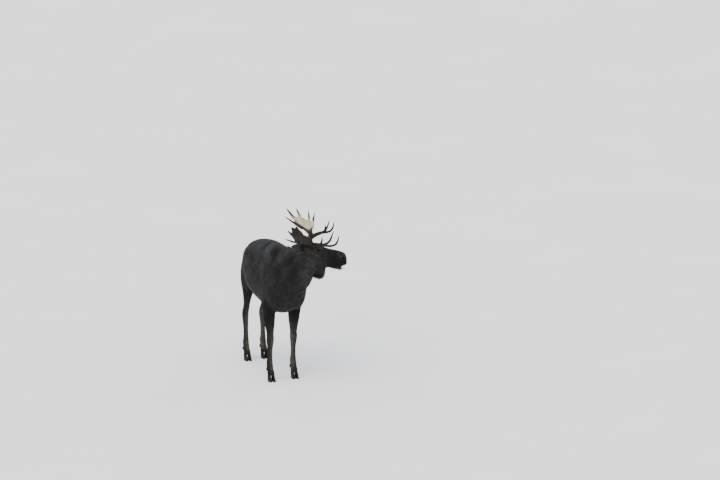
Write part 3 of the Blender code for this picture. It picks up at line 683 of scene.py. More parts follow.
def bareness(points):
    """1 where the hide is bare: inside the nostrils, between the lips and on the rims of the lids."""
    place = in_head(points)
    rim, along, rise = almond(place)
    at_eye = (np.abs(place[:, 1]) > 0.055) & (np.hypot(along, rise) < 0.040)
    lids = (1.0 - smoothstep(1.10, 1.45, rim)) * at_eye
    nostrils = (1.0 - smoothstep(1.05, 1.45, nostril_reach(place))) * (place[:, 0] > 0.49)
    # the hide shows along the lips, most in front where the lower lip is tucked in
    front = smoothstep(0.46, 0.54, place[:, 0])
    lips = np.clip(lip_line(place, (4.5 + 7.0 * front) * MM) * 1.4 - 0.2, 0.0, 1.0)
    # a small bare wedge between the nostrils, narrow below
    wedge = 0.005 + 0.24 * np.clip(place[:, 2] + 0.285, 0.0, 0.08)
    patch = smoothstep(0.560, 0.575, place[:, 0]) * smoothstep(1.2, 0.7, np.abs(place[:, 1]) / wedge)
    patch *= smoothstep(-0.290, -0.270, place[:, 2]) * smoothstep(-0.190, -0.210, place[:, 2])
    return np.clip(np.maximum.reduce([lids, nostrils, lips, patch]), 0.0, 1.0)


# ---------------------------------------------------------------- lie, length and colour of the coat
# for each part: depth of the coat, length and width of a lock, and the way that the hair lies
COAT = {
    "trunk": (19.0, 64.0, 8.0, (0.0, 1.0, -0.45)),
    "neck": (22.0, 80.0, 7.2, (-0.16, 0.62, -0.72)),
    "head": (5.0, 21.0, 3.9, None),
    "lower_jaw": (4.5, 23.0, 3.9, None),
    "bell": (12.0, 88.0, 5.8, (-0.10, 0.10, -1.0)),
    "tail": (8.0, 84.0, 5.4, (0.0, 0.30, -1.0)),
    "ear": (1.8, 17.0, 3.1, None),
    "leg_upper": (8.0, 34.0, 5.6, (0.0, 0.22, -1.0)),
    "leg_lower": (4.0, 20.0, 4.6, (0.0, 0.10, -1.0)),
}
# places with more frost, and places with less where shade is painted: along, outward, up, size, strength
FROST_AND_SHADE_PATCHES = (
    (-0.04, 0.12, 1.875, (0.13, 0.11, 0.11), 0.95),    # over the shoulder blade
    (-0.28, 0.09, 1.88, (0.075, 0.12, 0.20), -0.85),   # painted shade in the fold in front of it
    (-0.47, 0.03, 1.90, (0.16, 0.12, 0.11), 0.70),     # side of the upper neck
    (0.28, 0.28, 1.26, (0.40, 0.20, 0.22), -0.30),     # painted shade on the lower flank
)
LEGS_MIDDLE = sum(centre_of(leg + "_lower").x for leg in LEGS) / 4.0
EAR_LENGTH = 0.25
EAR_ROOT = (-0.035, 0.070, -0.045)           # in the head's frame
HEAD_LIE = {"head": (-1.0, 0.10, 0.05), "lower_jaw": (-0.85, 0.05, -0.45), "ear": (-0.62, 0.72, 0.30)}


def coat_row(node):
    """The row of COAT for a CAD node and, on the head and ears, its lie in the head's frame."""
    kind = node
    if node.startswith("ear_"):
        kind = "ear"
    elif "leg_" in node:
        kind = "leg_upper" if node.endswith("_upper") else "leg_lower"
    depth, length, width, lie = COAT[kind]
    if lie is None:
        side = "right" if node.endswith("_right") else "left"
        lie = head_way(*HEAD_LIE[kind], side)
    return depth * MM, length * MM, width * MM, tuple(lie)


def nearest_nodes(points):
    """For each point, the number in FLESH of the CAD node that it lies on."""
    corners, triangles, owner = [], [], []
    start = 0
    for number, node in enumerate(FLESH):
        mesh = frame["nodes"][node].data
        corners.append(points_of(mesh))
        mesh.calc_loop_triangles()
        flat = np.empty(len(mesh.loop_triangles) * 3, dtype=np.int64)
        mesh.loop_triangles.foreach_get("vertices", flat)
        triangles.append(flat.reshape(-1, 3) + start)
        owner += [number] * (len(flat) // 3)
        start += len(corners[-1])
    tree = BVHTree.FromPolygons(np.vstack(corners).tolist(), np.vstack(triangles).tolist())
    return np.array([owner[tree.find_nearest(Vector(point))[2]] for point in points])


def cloud(points, size, seed):
    """Soft patches about size across, between 0 and 1."""
    random = np.random.default_rng(seed)
    total = np.zeros(len(points))
    for _ in range(7):
        way = random.normal(size=3)
        way *= random.uniform(0.6, 1.5) * math.tau / (size * 2.0 * np.linalg.norm(way))
        total += np.sin(points @ way + random.uniform(0.0, math.tau))
    return np.clip(0.5 + total / 5.2, 0.0, 1.0)


def ear_marks(points, normals):
    """1 on the pale inner side of an ear, falling to 0 at its rim, root and tip."""
    pale = np.zeros(len(points))
    for side in SIDES:
        along = np.array(head_way(*HEAD_LIE["ear"], side).normalized())
        opening = head_way(0.35, 0.45, 0.10, side)
        offset = points - np.array(head_place(*EAR_ROOT, side))
        far = offset @ along / EAR_LENGTH
        near = np.linalg.norm(offset, axis=1) < 1.5 * EAR_LENGTH
        inner = smoothstep(0.15, 0.75, normals @ np.array(opening.normalized()))
        pale = np.maximum(pale, near * inner * smoothstep(0.10, 0.35, far) * smoothstep(1.0, 0.80, far))
    return pale


def markings(points, normals, on_ear):
    """Frost, warmth and paleness of the coat, the same on the skin and on the hair; the frost also carries
    painted shade in a fold and low on the flank, and a painted sheen on the muzzle.
    """
    place = in_head(points)
    forward, height = place[:, 0], points[:, 2]
    patchy = cloud(points, 0.16, 5)
    fine = cloud(points, 0.05, 9)
    # soft upright folds run down the barrel and shoulder
    folds = cloud(points * np.array((1.0, 1.5, 0.70)), 0.15, 17)
    top = smoothstep(1.30, 1.85, height) * smoothstep(-0.15, 0.80, normals[:, 2])
    frost_and_painted_light = 0.06 + 0.42 * top * (0.25 + 0.95 * patchy)
    frost_and_painted_light += 0.40 * smoothstep(0.95, 1.45, height) * smoothstep(0.45, 0.95, 0.55 * folds + 0.45 * patchy)
    frost_and_painted_light *= 1.0 - 0.75 * smoothstep(0.35, 0.85, points[:, 1])
    chest = smoothstep(-0.30, -0.62, points[:, 1]) * smoothstep(1.80, 1.55, height)
    frost_and_painted_light = frost_and_painted_light * (1.0 - 0.7 * chest) + 0.27 * chest
    # patches of negative strength take frost away, which paints shade
    for along, out, up, size, strength in FROST_AND_SHADE_PATCHES:
        offset = np.column_stack([np.abs(points[:, 0] - LEGS_MIDDLE) - out, points[:, 1] - along, height - up])
        near = np.linalg.norm(offset / np.array(size), axis=1)
        frost_and_painted_light += strength * smoothstep(1.25, 0.35, near) * (0.45 + 0.9 * fine)
    frost_and_painted_light = np.maximum(frost_and_painted_light, 0.02) * (0.75 + 0.5 * fine)
    # the cheeks are dull, the muzzle is dark with a painted grey sheen on top, frost hangs on the chin
    face = smoothstep(-0.12, 0.14, forward) * smoothstep(-0.60, -0.44, place[:, 2])
    face *= smoothstep(0.30, 0.20, np.abs(place[:, 1]))
    cheek = smoothstep(0.44, 0.16, forward)
    # a painted highlight: the frost grey laid on the top of the muzzle
    painted_snout_sheen = smoothstep(0.42, 0.50, forward) * smoothstep(-0.225, -0.175, place[:, 2])
    bridge = smoothstep(0.29, 0.35, forward) * smoothstep(0.45, 0.39, forward)
    bridge *= smoothstep(0.15, 0.70, normals[:, 2])
    on_face = 0.05 + 0.56 * cheek * (0.45 + 0.9 * fine) + (0.62 * painted_snout_sheen + 0.55 * bridge) * (0.4 + fine)
    frost_and_painted_light += (on_face - frost_and_painted_light) * face
    # rime lies on the ears and on the hair round their roots
    root = np.abs(place) * (1.0, 1.0, 0.0) + place * (0.0, 0.0, 1.0) - np.array((0.020, 0.085, -0.030))
    frost_and_painted_light += 0.50 * smoothstep(0.11, 0.04, np.linalg.norm(root, axis=1)) * (0.4 + fine)
    frost_and_painted_light = np.where(on_ear, 0.30 + 0.30 * fine, frost_and_painted_light)
    chin = smoothstep(-0.332, -0.352, place[:, 2]) * smoothstep(0.26, 0.40, forward) * face
    frost_and_painted_light += 0.3 * chin
    poll = np.linalg.norm(place - np.array((0.0, 0.0, -0.06)), axis=1)
    warm = 0.10 + 0.40 * smoothstep(0.30, 0.08, poll) + 0.22 * smoothstep(0.75, 0.25, poll) * patchy
    warm += (warm * cheek - warm) * face
    # the brisket and the tail are browner
    warm += 0.40 * smoothstep(1.32, 1.12, height) * smoothstep(-0.20, -0.45, points[:, 1])
    warm += 0.45 * smoothstep(0.16, 0.08, np.linalg.norm(points - np.array(centre_of("tail")), axis=1))
    warm = np.where(on_ear, 0.30, warm)
    # the cannons are grey brown, palest on their inner and hind sides; knees and hocks stay dark
    inner = 0.5 - 0.5 * normals[:, 0] * np.sign(points[:, 0] - LEGS_MIDDLE)
    hind = smoothstep(0.0, 0.3, points[:, 1])
    pale = smoothstep(1.02, 0.60, height) * (0.02 + (0.78 - 0.06 * hind) * inner + 0.16 * hind)
    pale *= (0.60 + 0.6 * fine) * smoothstep(0.07, 0.22, height)
    pale = np.maximum(pale, 0.16 * face * cheek)
    pale = np.maximum(pale, 1.0 * chin)
    pale = np.where(on_ear, 0.03 + 0.26 * ear_marks(points, normals), pale)
    return np.clip(np.stack([frost_and_painted_light, warm, pale], axis=1), 0.0, 1.0)


def coat_fields(mesh, owner):
    """Depth, length, width, proudness and lie of the hair at each vertex, with no step between parts."""
    rows = [coat_row(node) for node in FLESH]
    depth, length, width = (np.array([row[i] for row in rows])[owner] for i in range(3))
    lie = np.array([row[3] for row in rows])[owner]
    points, normals, edges = points_of(mesh), normals_of(mesh), edges_of(mesh)
    place = in_head(points)
    names = np.array(FLESH)[owner]
    body = (names == "trunk") | (names == "neck")
    # long hair over the hump and the top of the neck, shorter over the rump
    crest = smoothstep(1.62, 1.90, points[:, 2]) * smoothstep(0.20, 0.85, normals[:, 2])
    crest *= smoothstep(0.75, 0.10, points[:, 1])
    length = length * np.where(body, 1.0 + 0.55 * crest, 1.0)
    throat = (names == "neck") * smoothstep(-0.1, -0.8, normals[:, 2])
    length = length * (1.0 + 0.25 * throat)
    # the breast's hair hangs, the belly's runs back
    breast = smoothstep(-0.35, -0.62, points[:, 1]) * body * smoothstep(1.75, 1.35, points[:, 2])
    lie = lie * (1.0 - breast)[:, None] + np.array((0.0, 0.35, -1.0)) * breast[:, None]
    haunch = smoothstep(0.55, 0.95, points[:, 1]) * body
    length = length * (1.0 - 0.35 * haunch * smoothstep(1.45, 1.15, points[:, 2]))
    lie = lie + np.array((0.0, -0.2, -1.1)) * haunch[:, None]
    # hair is shortest on the muzzle
    muzzle = smoothstep(0.18, 0.50, place[:, 0]) * ((names == "head") | (names == "lower_jaw"))
    length *= 1.0 - 0.55 * muzzle
    width *= 1.0 - 0.30 * muzzle
    depth *= 1.0 - 0.45 * muzzle
    # frosted whiskers hang from the chin
    chin = smoothstep(0.34, 0.46, place[:, 0]) * smoothstep(-0.325, -0.350, place[:, 2])
    chin *= names == "lower_jaw"
    length = length + 68.0 * MM * chin
    lie = lie * (1.0 - chin)[:, None] + np.array(head_way(0.50, 0.0, -1.0)) * chin[:, None]
    # a tuft fills the hollow between the ear and the root of the antler
    to_tuft = np.hypot(np.hypot(place[:, 0] + 0.010, np.abs(place[:, 1]) - 0.085), place[:, 2] + 0.030)
    tuft = smoothstep(0.085, 0.030, to_tuft) * np.where(np.char.find(names, "ear_") >= 0, 0.15, 1.0)
    length = length + 34.0 * MM * tuft
    # the mane under the throat and the breast stands proud of the flesh
    middle = points[:, 0] - LEGS_MIDDLE
    to_bell = np.linalg.norm(points - np.array(centre_of("bell")), axis=1)
    proud = 16.0 * MM * throat * smoothstep(-0.05, -0.35, points[:, 1])
    proud += 20.0 * MM * (names == "neck") * smoothstep(0.24, 0.12, to_bell)
    proud += 26.0 * MM * chin + 34.0 * MM * tuft + 16.0 * MM * (names == "tail")
    proud += 30.0 * MM * breast * smoothstep(0.05, 0.28, middle) * smoothstep(1.15, 1.35, points[:, 2])
    fields = np.column_stack([depth, length, width, proud, unit(lie)])
    for _ in range(60):
        fields += 0.6 * (neighbour_mean(fields, edges) - fields)
    lie = fields[:, 4:]
    lie = unit(lie - normals * np.sum(lie * normals, axis=1)[:, None])
    return fields[:, 0], fields[:, 1], fields[:, 2], fields[:, 3], lie


def add_colours(mesh, name, values):
    """Store up to three columns of values on the vertices as a colour."""
    columns = np.ones((len(values), 4))
    columns[:, :values.shape[1]] = values
    mesh.color_attributes.new(name=name, type="FLOAT_COLOR", domain="POINT")
    mesh.attributes[name].data.foreach_set("color", columns.ravel())


def build_skin(material):
    """The skin with its face, and what the coat needs to know of it."""
    body = join([copy_node(node, node + "_skin") for node in BODY_NODES + ["eye_left", "eye_right"]], "skin")
    grow(body, 1.0 * MM)
    voxel(body, SKIN_VOXEL)
    soften(body.data, 22, 1.0 - 0.55 * face_weight(points_of(body.data)))
    # the muzzle ends in a full round nose
    soften(body.data, 30, nose_weight(points_of(body.data)))
    points = points_of(body.data)
    set_points(body.data, points + normals_of(body.data) * (6.0 * MM * nose_weight(points))[:, None])
    thin_out_body(body)
    soften(body.data, 34, fold_weight(points_of(body.data)))
    # what the rounding took off the barrel and neck is put back
    points = points_of(body.data)
    set_points(body.data, points + normals_of(body.data) * (8.0 * MM * fold_weight(points))[:, None])
    refine(body, near_features)
    refine(body, near_rims)
    refine(body, near_lids)
    ears = join([copy_node(node, node + "_skin") for node in EAR_NODES], "ears")
    voxel(ears, EAR_VOXEL)
    soften(ears.data, 3)
    # the roots of the ears reach into the head, under its coat
    points = points_of(ears.data)
    for side in SIDES:
        along = np.array(head_way(*HEAD_LIE["ear"], side).normalized())
        offset = points - np.array(head_place(*EAR_ROOT, side))
        near = np.linalg.norm(offset, axis=1) < 1.5 * EAR_LENGTH
        points -= along * (20.0 * MM * near * smoothstep(0.070, 0.020, offset @ along))[:, None]
    set_points(ears.data, points)
    skin = join([body, ears], "skin")
    mesh = skin.data
    owner = nearest_nodes(points_of(mesh))
    depth, length, width, proud, lie = coat_fields(mesh, owner)
    set_points(mesh, points_of(mesh) - normals_of(mesh) * depth[:, None])
    part_hams(mesh)
    soften(mesh, 2)
    sculpt_face(mesh)
    points, normals = points_of(mesh), normals_of(mesh)
    on_ear = np.char.find(np.array(FLESH)[owner], "ear_") >= 0
    marks = markings(points, normals, on_ear)
    add_colours(mesh, "markings", marks)
    add_colours(mesh, "bare", np.repeat(bareness(points)[:, None], 3, axis=1))
    mesh.materials.clear()
    mesh.materials.append(material)
    mesh.shade_smooth()
    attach(skin, "root")
    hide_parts(*FLESH)
    return skin, owner, marks, depth, length, width, proud, lie


# ---------------------------------------------------------------- the coat
PATCH = 0.003                # width of each lock's patch on its piece's unwrap
RINGS = (0.0, 0.42)          # where along a lock its two rings lie; the tip closes it
RING_WIDTHS = (0.55, 1.0)


class Skin:
    """The skin's surface as arrays, with the coat's fields at its vertices."""

    def __init__(self, mesh, owner, marks, depth, length, width, proud, lie):
        mesh.calc_loop_triangles()
        flat = np.empty(len(mesh.loop_triangles) * 3, dtype=np.int64)
        mesh.loop_triangles.foreach_get("vertices", flat)
        self.triangles = flat.reshape(-1, 3)
        self.points, self.normals = points_of(mesh), normals_of(mesh)
        self.marks, self.depth, self.proud, self.lie = marks, depth, proud, lie
        self.length, self.width = length, width
        self.bare = bareness(self.points)
        first, second, third = (self.points[self.triangles[:, i]] for i in range(3))
        self.areas = np.linalg.norm(np.cross(second - first, third - first), axis=1) / 2.0
        self.middles = (first + second + third) / 3.0
        self.owners = owner[self.triangles[:, 0]]

    def scatter(self, faces, spacing, random):
        """Evenly strewn places on some faces: the face and its corner weights for each."""
        share = np.cumsum(self.areas[faces] / spacing[faces] ** 2)
        number = int(share[-1])
        steps = (np.arange(number) + random.random(number)) / number * share[-1]
        chosen = faces[np.minimum(np.searchsorted(share, steps), len(faces) - 1)]
        first, second = random.random(number), random.random(number)
        over = first + second > 1.0
        first[over], second[over] = 1.0 - first[over], 1.0 - second[over]
        return chosen, np.stack([1.0 - first - second, first, second], axis=1)

    def blend(self, values, chosen, weights):
        """A field's value at strewn places."""
        corners = values[self.triangles[chosen]]
        if corners.ndim == 2:
            return np.sum(corners * weights, axis=1)
        return np.sum(corners * weights[:, :, None], axis=1)


def unroll(points, centre, axis, tile):
    """Unroll a part of the skin round its own axis into a tile (left, bottom, width, height)."""
    axis = np.array(axis) / np.linalg.norm(axis)
    start = np.cross(axis, (0.31, 0.22, 0.93))
    start /= np.linalg.norm(start)
    other = np.cross(axis, start)
    offset = points - np.array(centre)
    turn = np.arctan2(offset @ other, offset @ start) / math.tau + 0.5
    along = offset @ axis
    low, high = along.min(), along.max() + 1e-6
    left, bottom, wide, high_part = tile
    return np.stack([left + wide * (0.01 + 0.97 * turn),
                     bottom + high_part * (0.01 + 0.97 * (along - low) / (high - low))], axis=1)


def grow_locks(name, skin, faces, spacing, seed, material, unwrap, shaggy=0.16, hang=0.0):
    """A piece of the coat: thin locks rooted in the skin that lie along the body and overlap."""
    random = np.random.default_rng(seed)
    chosen, weights = skin.scatter(faces, spacing, random)
    keep = random.random(len(chosen)) > skin.blend(skin.bare, chosen, weights) * 2.2
    chosen, weights = chosen[keep], weights[keep]
    number = len(chosen)
    roots = skin.blend(skin.points, chosen, weights)
    normals = unit(skin.blend(skin.normals, chosen, weights))
    lie = skin.blend(skin.lie, chosen, weights)
    length = skin.blend(skin.length, chosen, weights) * random.uniform(0.72, 1.22, number)
    width = skin.blend(skin.width, chosen, weights) * random.uniform(0.75, 1.2, number)
    depth = skin.blend(skin.depth, chosen, weights) * random.uniform(0.60, 1.12, number)
    depth += skin.blend(skin.proud, chosen, weights) * random.uniform(0.30, 1.10, number)
    marks = skin.blend(skin.marks, chosen, weights)
    side = np.cross(normals, lie)
    # neighbours part together into loose wavy clumps, and each lock strays a little
    wave = (cloud(roots, 0.09, 21) - 0.5) * 1.1 * shaggy / 0.16
    stray = wave * 0.55 + random.normal(0.0, shaggy, number)
    lie = unit(lie + side * stray[:, None] + np.array((0.0, 0.0, -hang)))
    lie = unit(lie - normals * np.sum(lie * normals, axis=1)[:, None])
    side = np.cross(normals, lie)
    curl = random.normal(0.0, 0.10, number) + (cloud(roots, 0.05, 33) - 0.5) * 0.3
    rise = np.minimum(depth, length * 0.8)
    reach = np.sqrt(np.maximum(length ** 2 - rise ** 2, 0.0))
    rings, across = [], ((-0.5, 0.0), (0.5, 0.0), (0.0, 0.34))
    for part, wide in zip(RINGS, RING_WIDTHS):
        lift = rise * (1.0 - (1.0 - part) ** 2) - 1.5 * MM * (1.0 - part)
        middle = (roots + lie * (reach * part)[:, None] + normals * lift[:, None]
                  + side * (curl * length * part ** 2)[:, None])
        for sideways, upward in across:
            rings.append(middle + side * (width * wide * sideways)[:, None]
                         + normals * (width * wide * upward)[:, None])
    tip = roots + lie * reach[:, None] + normals * rise[:, None] + side * (curl * length)[:, None]
    corners = np.stack(rings + [tip], axis=1)
    pattern = np.array(((0, 2, 1), (0, 1, 4), (0, 4, 3), (1, 2, 5), (1, 5, 4), (2, 0, 3), (2, 3, 5),
                        (3, 4, 6), (4, 5, 6), (5, 3, 6)))
    triangles = (np.arange(number) * 7)[:, None, None] + pattern
    coat = mesh_from_arrays(name, corners.reshape(-1, 3), triangles.reshape(-1, 3))
    mesh = coat.data
    along = np.array((0.0, 0.0, 0.0, 0.5, 0.5, 0.5, 1.0))
    across_patch = np.array((0.0, 1.0, 0.5, 0.0, 1.0, 0.5, 0.5))
    place = unwrap(roots)
    patch = np.stack([across_patch, along], axis=1) * PATCH
    corners_uv = (place[:, None, :] + patch[None, :, :]).reshape(-1, 2)
    layer = mesh.uv_layers.new(name="OFBake")
    layer.data.foreach_set("uv", corners_uv[triangles.reshape(-1)].ravel())
    add_colours(mesh, "markings", np.repeat(marks, 7, axis=0))
    shade = np.repeat(random.random(number), 7)
    add_colours(mesh, "lock", np.stack([np.tile(along, number), shade], axis=1))
    mesh.materials.append(material)
    mesh.shade_smooth()
    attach(coat, "root")
    return coat


def faces_of(skin, *nodes):
    """Faces of the skin that lie on these CAD nodes."""
    numbers = [FLESH.index(node) for node in nodes]
    return np.isin(skin.owners, numbers)


def node_unwrap(nodes, axis):
    """An unwrap that unrolls the boxes of these nodes round one axis."""
    lows = np.array([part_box(node)[0] for node in nodes])
    highs = np.array([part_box(node)[1] for node in nodes])
    centre = (lows.min(axis=0) + highs.max(axis=0)) / 2.0
    return lambda points: unroll(points, centre, axis, (0.0, 0.0, 0.995, 0.995))


def build_coat(skin, material):
    """All the coat's pieces."""
    coarse = 1.0      # fewer locks while trying things
    spacing = np.full(len(skin.triangles), 7.6 * MM)
    for node, gap in (("neck", 6.3), ("head", 4.5), ("lower_jaw", 4.6), ("bell", 4.6), ("tail", 4.6),
                      ("ear_left", 4.0), ("ear_right", 4.0)):
        spacing[faces_of(skin, node)] = gap * MM
    for leg in LEGS:
        spacing[faces_of(skin, leg + "_upper")] = 6.4 * MM
        spacing[faces_of(skin, leg + "_lower")] = 5.8 * MM
    spacing *= coarse
    trunk = faces_of(skin, "trunk")
    low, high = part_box("trunk")
    along = (skin.middles[:, 1] - low[1]) / (high[1] - low[1])
    left = skin.middles[:, 0] > (low[0] + high[0]) / 2.0
    bands = ((0.0, 0.34, "shoulders"), (0.34, 0.68, "barrel"), (0.68, 1.01, "rump"))
    seed = 100
    whole = node_unwrap(["trunk"], (0.0, 1.0, 0.0))
    for start, end, part in bands:
        for side, here in (("left", left), ("right", ~left)):
            seed += 1
            faces = np.nonzero(trunk & here & (along >= start) & (along < end))[0]
            grow_locks("coat_" + part + "_" + side, skin, faces, spacing, seed, material, whole)
    head, nose_way = faces_of(skin, "head"), tuple(FORWARD)
    left_cheek = in_head(skin.middles)[:, 1] > 0.0
    for side, here in (("left", left_cheek), ("right", ~left_cheek)):
        seed += 1
        faces = np.nonzero(head & here)[0]
        grow_locks("coat_face_" + side, skin, faces, spacing, seed, material,
                   node_unwrap(["head"], nose_way), 0.13)
    down = (0.0, 0.0, 1.0)
    parts = (("coat_neck", ["neck"], (-0.17, 0.62, -0.70), 0.18, 0.10),
             ("coat_jaw", ["lower_jaw"], nose_way, 0.14, 0.0),
             ("coat_bell", ["bell"], down, 0.20, 0.15),
             ("coat_tail", ["tail"], down, 0.16, 0.2),
             ("coat_ear_left", ["ear_left"], tuple(head_way(-0.62, 0.72, 0.30, "left")), 0.16, 0.0),
             ("coat_ear_right", ["ear_right"], tuple(head_way(-0.62, 0.72, 0.30, "right")), 0.16, 0.0))
    for name, nodes, axis, shaggy, hang in parts:
        seed += 1
        faces = np.nonzero(faces_of(skin, *nodes))[0]
        grow_locks(name, skin, faces, spacing, seed, material, node_unwrap(nodes, axis), shaggy, hang)
    for leg in LEGS:
        seed += 1
        nodes = [leg + "_upper", leg + "_lower"]
        faces = np.nonzero(faces_of(skin, *nodes))[0]
        grow_locks("coat_" + leg, skin, faces, spacing, seed, material, node_unwrap(nodes, down), 0.11)


# ---------------------------------------------------------------- antlers
ANTLER_VOXEL = 3.4 * MM
BURR = Vector((0.045, 0.099, -0.006))        # the coronet round the antler's root, in the head's frame
FORK = Vector((0.085, 0.235, 0.070))         # where the palm opens from the beam
PALM_FACING = (-0.40, -0.70, 0.56)           # the way that the hollow face of the palm looks
# along the palm's rim: where each tine or corner points, and how far towards it the flat of the palm goes
PALM_RIM = {
    "left": (((-0.298, 0.600, 0.234), 0.60), ((-0.272, 0.600, 0.357), 0.78), ((-0.192, 0.560, 0.297), 0.88),
             ((-0.124, 0.560, 0.365), 0.82), ((-0.043, 0.520, 0.270), 0.90), ((0.049, 0.520, 0.351), 0.68),
             ((0.138, 0.430, 0.338), 0.60)),
    "right": (((-0.284, 0.600, 0.228), 0.60), ((-0.244, 0.600, 0.354), 0.86), ((-0.193, 0.580, 0.404), 1.0),
              ((-0.121, 0.540, 0.401), 1.0), ((-0.058, 0.460, 0.307), 1.0), ((-0.009, 0.400, 0.236), 0.95),
              ((0.100, 0.393, 0.350), 0.20)),
}


def beyond_rim(points, side):
    """Distance from the fork as a share of the palm's own reach in that direction: over 1 on the tines."""
    fork = np.array(head_place(*FORK, side))
    runs = np.array([head_place(*tip, side) for tip, _ in PALM_RIM[side]]) - fork
    reaches = np.linalg.norm(runs, axis=1) * np.array([reach for _, reach in PALM_RIM[side]])
    offset = points - fork
    nearness = np.maximum(unit(offset) @ unit(runs).T, 0.0) ** 60
    reach = nearness @ reaches / (nearness.sum(axis=1) + 1e-12)
    return np.linalg.norm(offset, axis=1) / np.maximum(reach, 1e-3)


def from_rear_edge(points, side):
    """Distance from the thick rear edge of the palm, which runs from the fork to the hindmost tine."""
    fork = np.array(head_place(*FORK, side))
    run = np.array(head_place(*PALM_RIM[side][0][0], side)) - fork
    run /= np.linalg.norm(run)
    offset = points - fork
    return np.linalg.norm(offset - run * (offset @ run)[:, None], axis=1)


def build_antler(side, material):
    """Beam, palm, brow palm and tines as one grown bone with veined faces and a pearled root."""
    nodes = ["antler_" + side + "_palm", "antler_" + side + "_brow"]
    palm, brow = [copy_node(node, node + "_bone") for node in nodes]
    grow(palm, 3.2 * MM)
    grow(brow, 5.0 * MM)
    antler = join([palm, brow], "antler_bone_" + side)
    voxel(antler, ANTLER_VOXEL)
    mesh = antler.data
    soften(mesh, 4)
    points, normals = points_of(mesh), normals_of(mesh)
    fork, burr = np.array(head_place(*FORK, side)), np.array(head_place(*BURR, side))
    from_fork = points - fork
    distance = np.linalg.norm(from_fork, axis=1)
    _, _, axes = np.linalg.svd(from_fork[distance > 0.03][::7], full_matrices=False)
    turn = np.arctan2(from_fork @ axes[1], from_fork @ axes[0])
    waver = cloud(points, 0.05, 3) * 2.4
    veins = np.sin(turn * 34.0 + waver * 3.0) * 0.5 + np.sin(turn * 71.0 - waver * 4.0) * 0.3
    open_palm = smoothstep(0.04, 0.14, distance)
    fade = open_palm * smoothstep(0.62, 0.30, distance)
    to_burr = np.linalg.norm(points - burr, axis=1)
    pearls = np.maximum(cloud(points, 0.008, 8) - 0.52, 0.0) * smoothstep(0.11, 0.03, to_burr)
    push = 1.0 * MM * veins * (0.35 + 0.65 * fade) + 9.0 * MM * pearls
    push += 0.8 * MM * (cloud(points, 0.03, 12) - 0.5)
    set_points(mesh, points + normals * push[:, None])
    soften(mesh, 1)
    facing = normals @ np.array(head_way(*PALM_FACING, side))
    plate = open_palm * smoothstep(1.12, 0.84, beyond_rim(points, side))
    # the thick rear edge of the palm is kept dark: painted shade along the palm's lower rim
    plate *= smoothstep(18.0 * MM, 42.0 * MM, from_rear_edge(points, side))
    # the hollow face is made pale, partly the bone's own tone and partly painted light on the side facing the
    # sky; the outer face stays dark, partly stain and partly painted shade
    hollow = smoothstep(-0.05, 0.55, facing) * plate * (0.70 + 0.45 * cloud(points, 0.07, 14))
    pale_and_sky_lit = 0.92 * hollow + 0.025 * smoothstep(0.1, 0.7, veins) * fade
    # bark has stained the beam and the tines darker than the plate
    tines = smoothstep(1.0, 1.25, beyond_rim(points, side))
    dark = smoothstep(0.13, 0.03, to_burr) * 0.5 + 0.30 * smoothstep(-0.1, -0.7, veins) * fade
    dark = np.maximum(dark, 0.55 * tines)
    add_colours(mesh, "pale_and_sky_lit", np.clip(np.stack([pale_and_sky_lit, dark], axis=1), 0.0, 1.0))
    mesh.materials.clear()
    mesh.materials.append(material)
    mesh.shade_smooth()
    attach(antler, "root")
    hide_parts(*nodes)


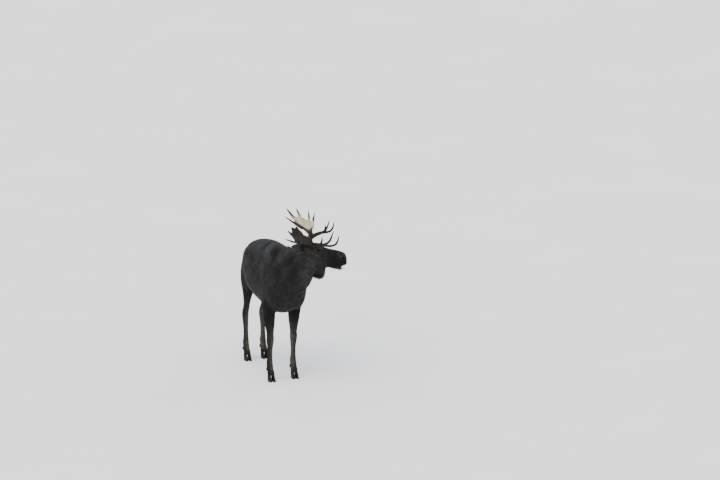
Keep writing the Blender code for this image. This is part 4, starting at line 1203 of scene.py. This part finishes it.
# ---------------------------------------------------------------- hooves, dewclaws and eyes
def round_horn(node, material, is_toe):
    """A hoof or dewclaw with rounded walls; a toe keeps its flat sole and sharp lower edge."""
    horn = copy_node(node, node + "_horn")
    shape = bmesh.new()
    shape.from_mesh(horn.data)
    bmesh.ops.join_triangles(shape, faces=shape.faces, angle_face_threshold=0.35, angle_shape_threshold=0.8)
    crease = shape.edges.layers.float.new("crease_edge")
    low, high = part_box(node)
    for edge in shape.edges:
        flat = all(abs(vert.co.z - low[2]) < 1.0 * MM for vert in edge.verts)
        flat_top = all(abs(vert.co.z - high[2]) < 1.0 * MM for vert in edge.verts)
        if is_toe and (flat or flat_top):
            edge[crease] = 1.0 if flat else 0.7
    shape.to_mesh(horn.data)
    shape.free()
    apply_modifier(horn, "SUBSURF", levels=2, render_levels=2)
    mesh = horn.data
    points, normals = points_of(mesh), normals_of(mesh)
    height = points[:, 2] - low[2]
    rings = np.sin(height / (6.5 * MM) * math.tau + 2.0 * cloud(points, 0.03, 4))
    wall = smoothstep(0.9, 0.4, np.abs(normals[:, 2])) * smoothstep(0.0, 4.0 * MM, height)
    points += normals * (0.07 * MM * rings * wall)[:, None]
    points[:, 2] = np.maximum(points[:, 2], 0.0)
    set_points(mesh, points)
    mesh.materials.append(material)
    mesh.shade_smooth()
    mesh.set_sharp_from_angle(angle=math.radians(55.0))
    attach(horn, "root")
    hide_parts(node)


def build_eye(side, material):
    """Eyeball with a slight cornea and a level oval pupil."""
    facing = head_way(0.12, 1.0, 0.04, side).normalized()
    centre = centre_of("eye_" + side)
    deselect_all()
    bpy.ops.mesh.primitive_uv_sphere_add(segments=64, ring_count=48, radius=EYE_RADIUS)
    ball = bpy.context.active_object
    ball.name = "eyeball_" + side
    mesh = ball.data
    points = points_of(mesh)
    front = points[:, 2] / EYE_RADIUS
    points *= (1.0 + 0.045 * smoothstep(0.80, 1.0, front))[:, None]
    turned = points @ np.array(facing.to_track_quat("Z", "Y").to_matrix()).T
    wide = turned @ np.array(FORWARD) - 0.12 * EYE_RADIUS
    reach = np.hypot(wide / (8.0 * MM), turned @ np.array(UPWARD) / (4.5 * MM)) / 4.0
    reach = np.where(front > 0.0, np.minimum(reach, 1.0), 1.0)
    add_colours(mesh, "pupil", np.repeat(reach[:, None], 3, axis=1))
    set_points(mesh, turned + np.array(centre))
    mesh.materials.append(material)
    mesh.shade_smooth()
    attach(ball, "root")
    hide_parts("eye_" + side)


# ---------------------------------------------------------------- everything together
def build():
    """Dress the moose and set it in the studio."""
    add_camera()
    add_studio()
    hair, hide, bone, horn = coat_material(), skin_material(), antler_material(), hoof_material()
    wet_eye = eye_material()
    skin, *fields = build_skin(hide)
    build_coat(Skin(skin.data, *fields), hair)
    for side in SIDES:
        build_antler(side, bone)
        build_eye(side, wet_eye)
    for leg in LEGS:
        for part in ("inner", "outer"):
            round_horn(leg + "_hoof_" + part, horn, True)
            round_horn(leg + "_dewclaw_" + part, horn, False)
    deselect_all()


build()
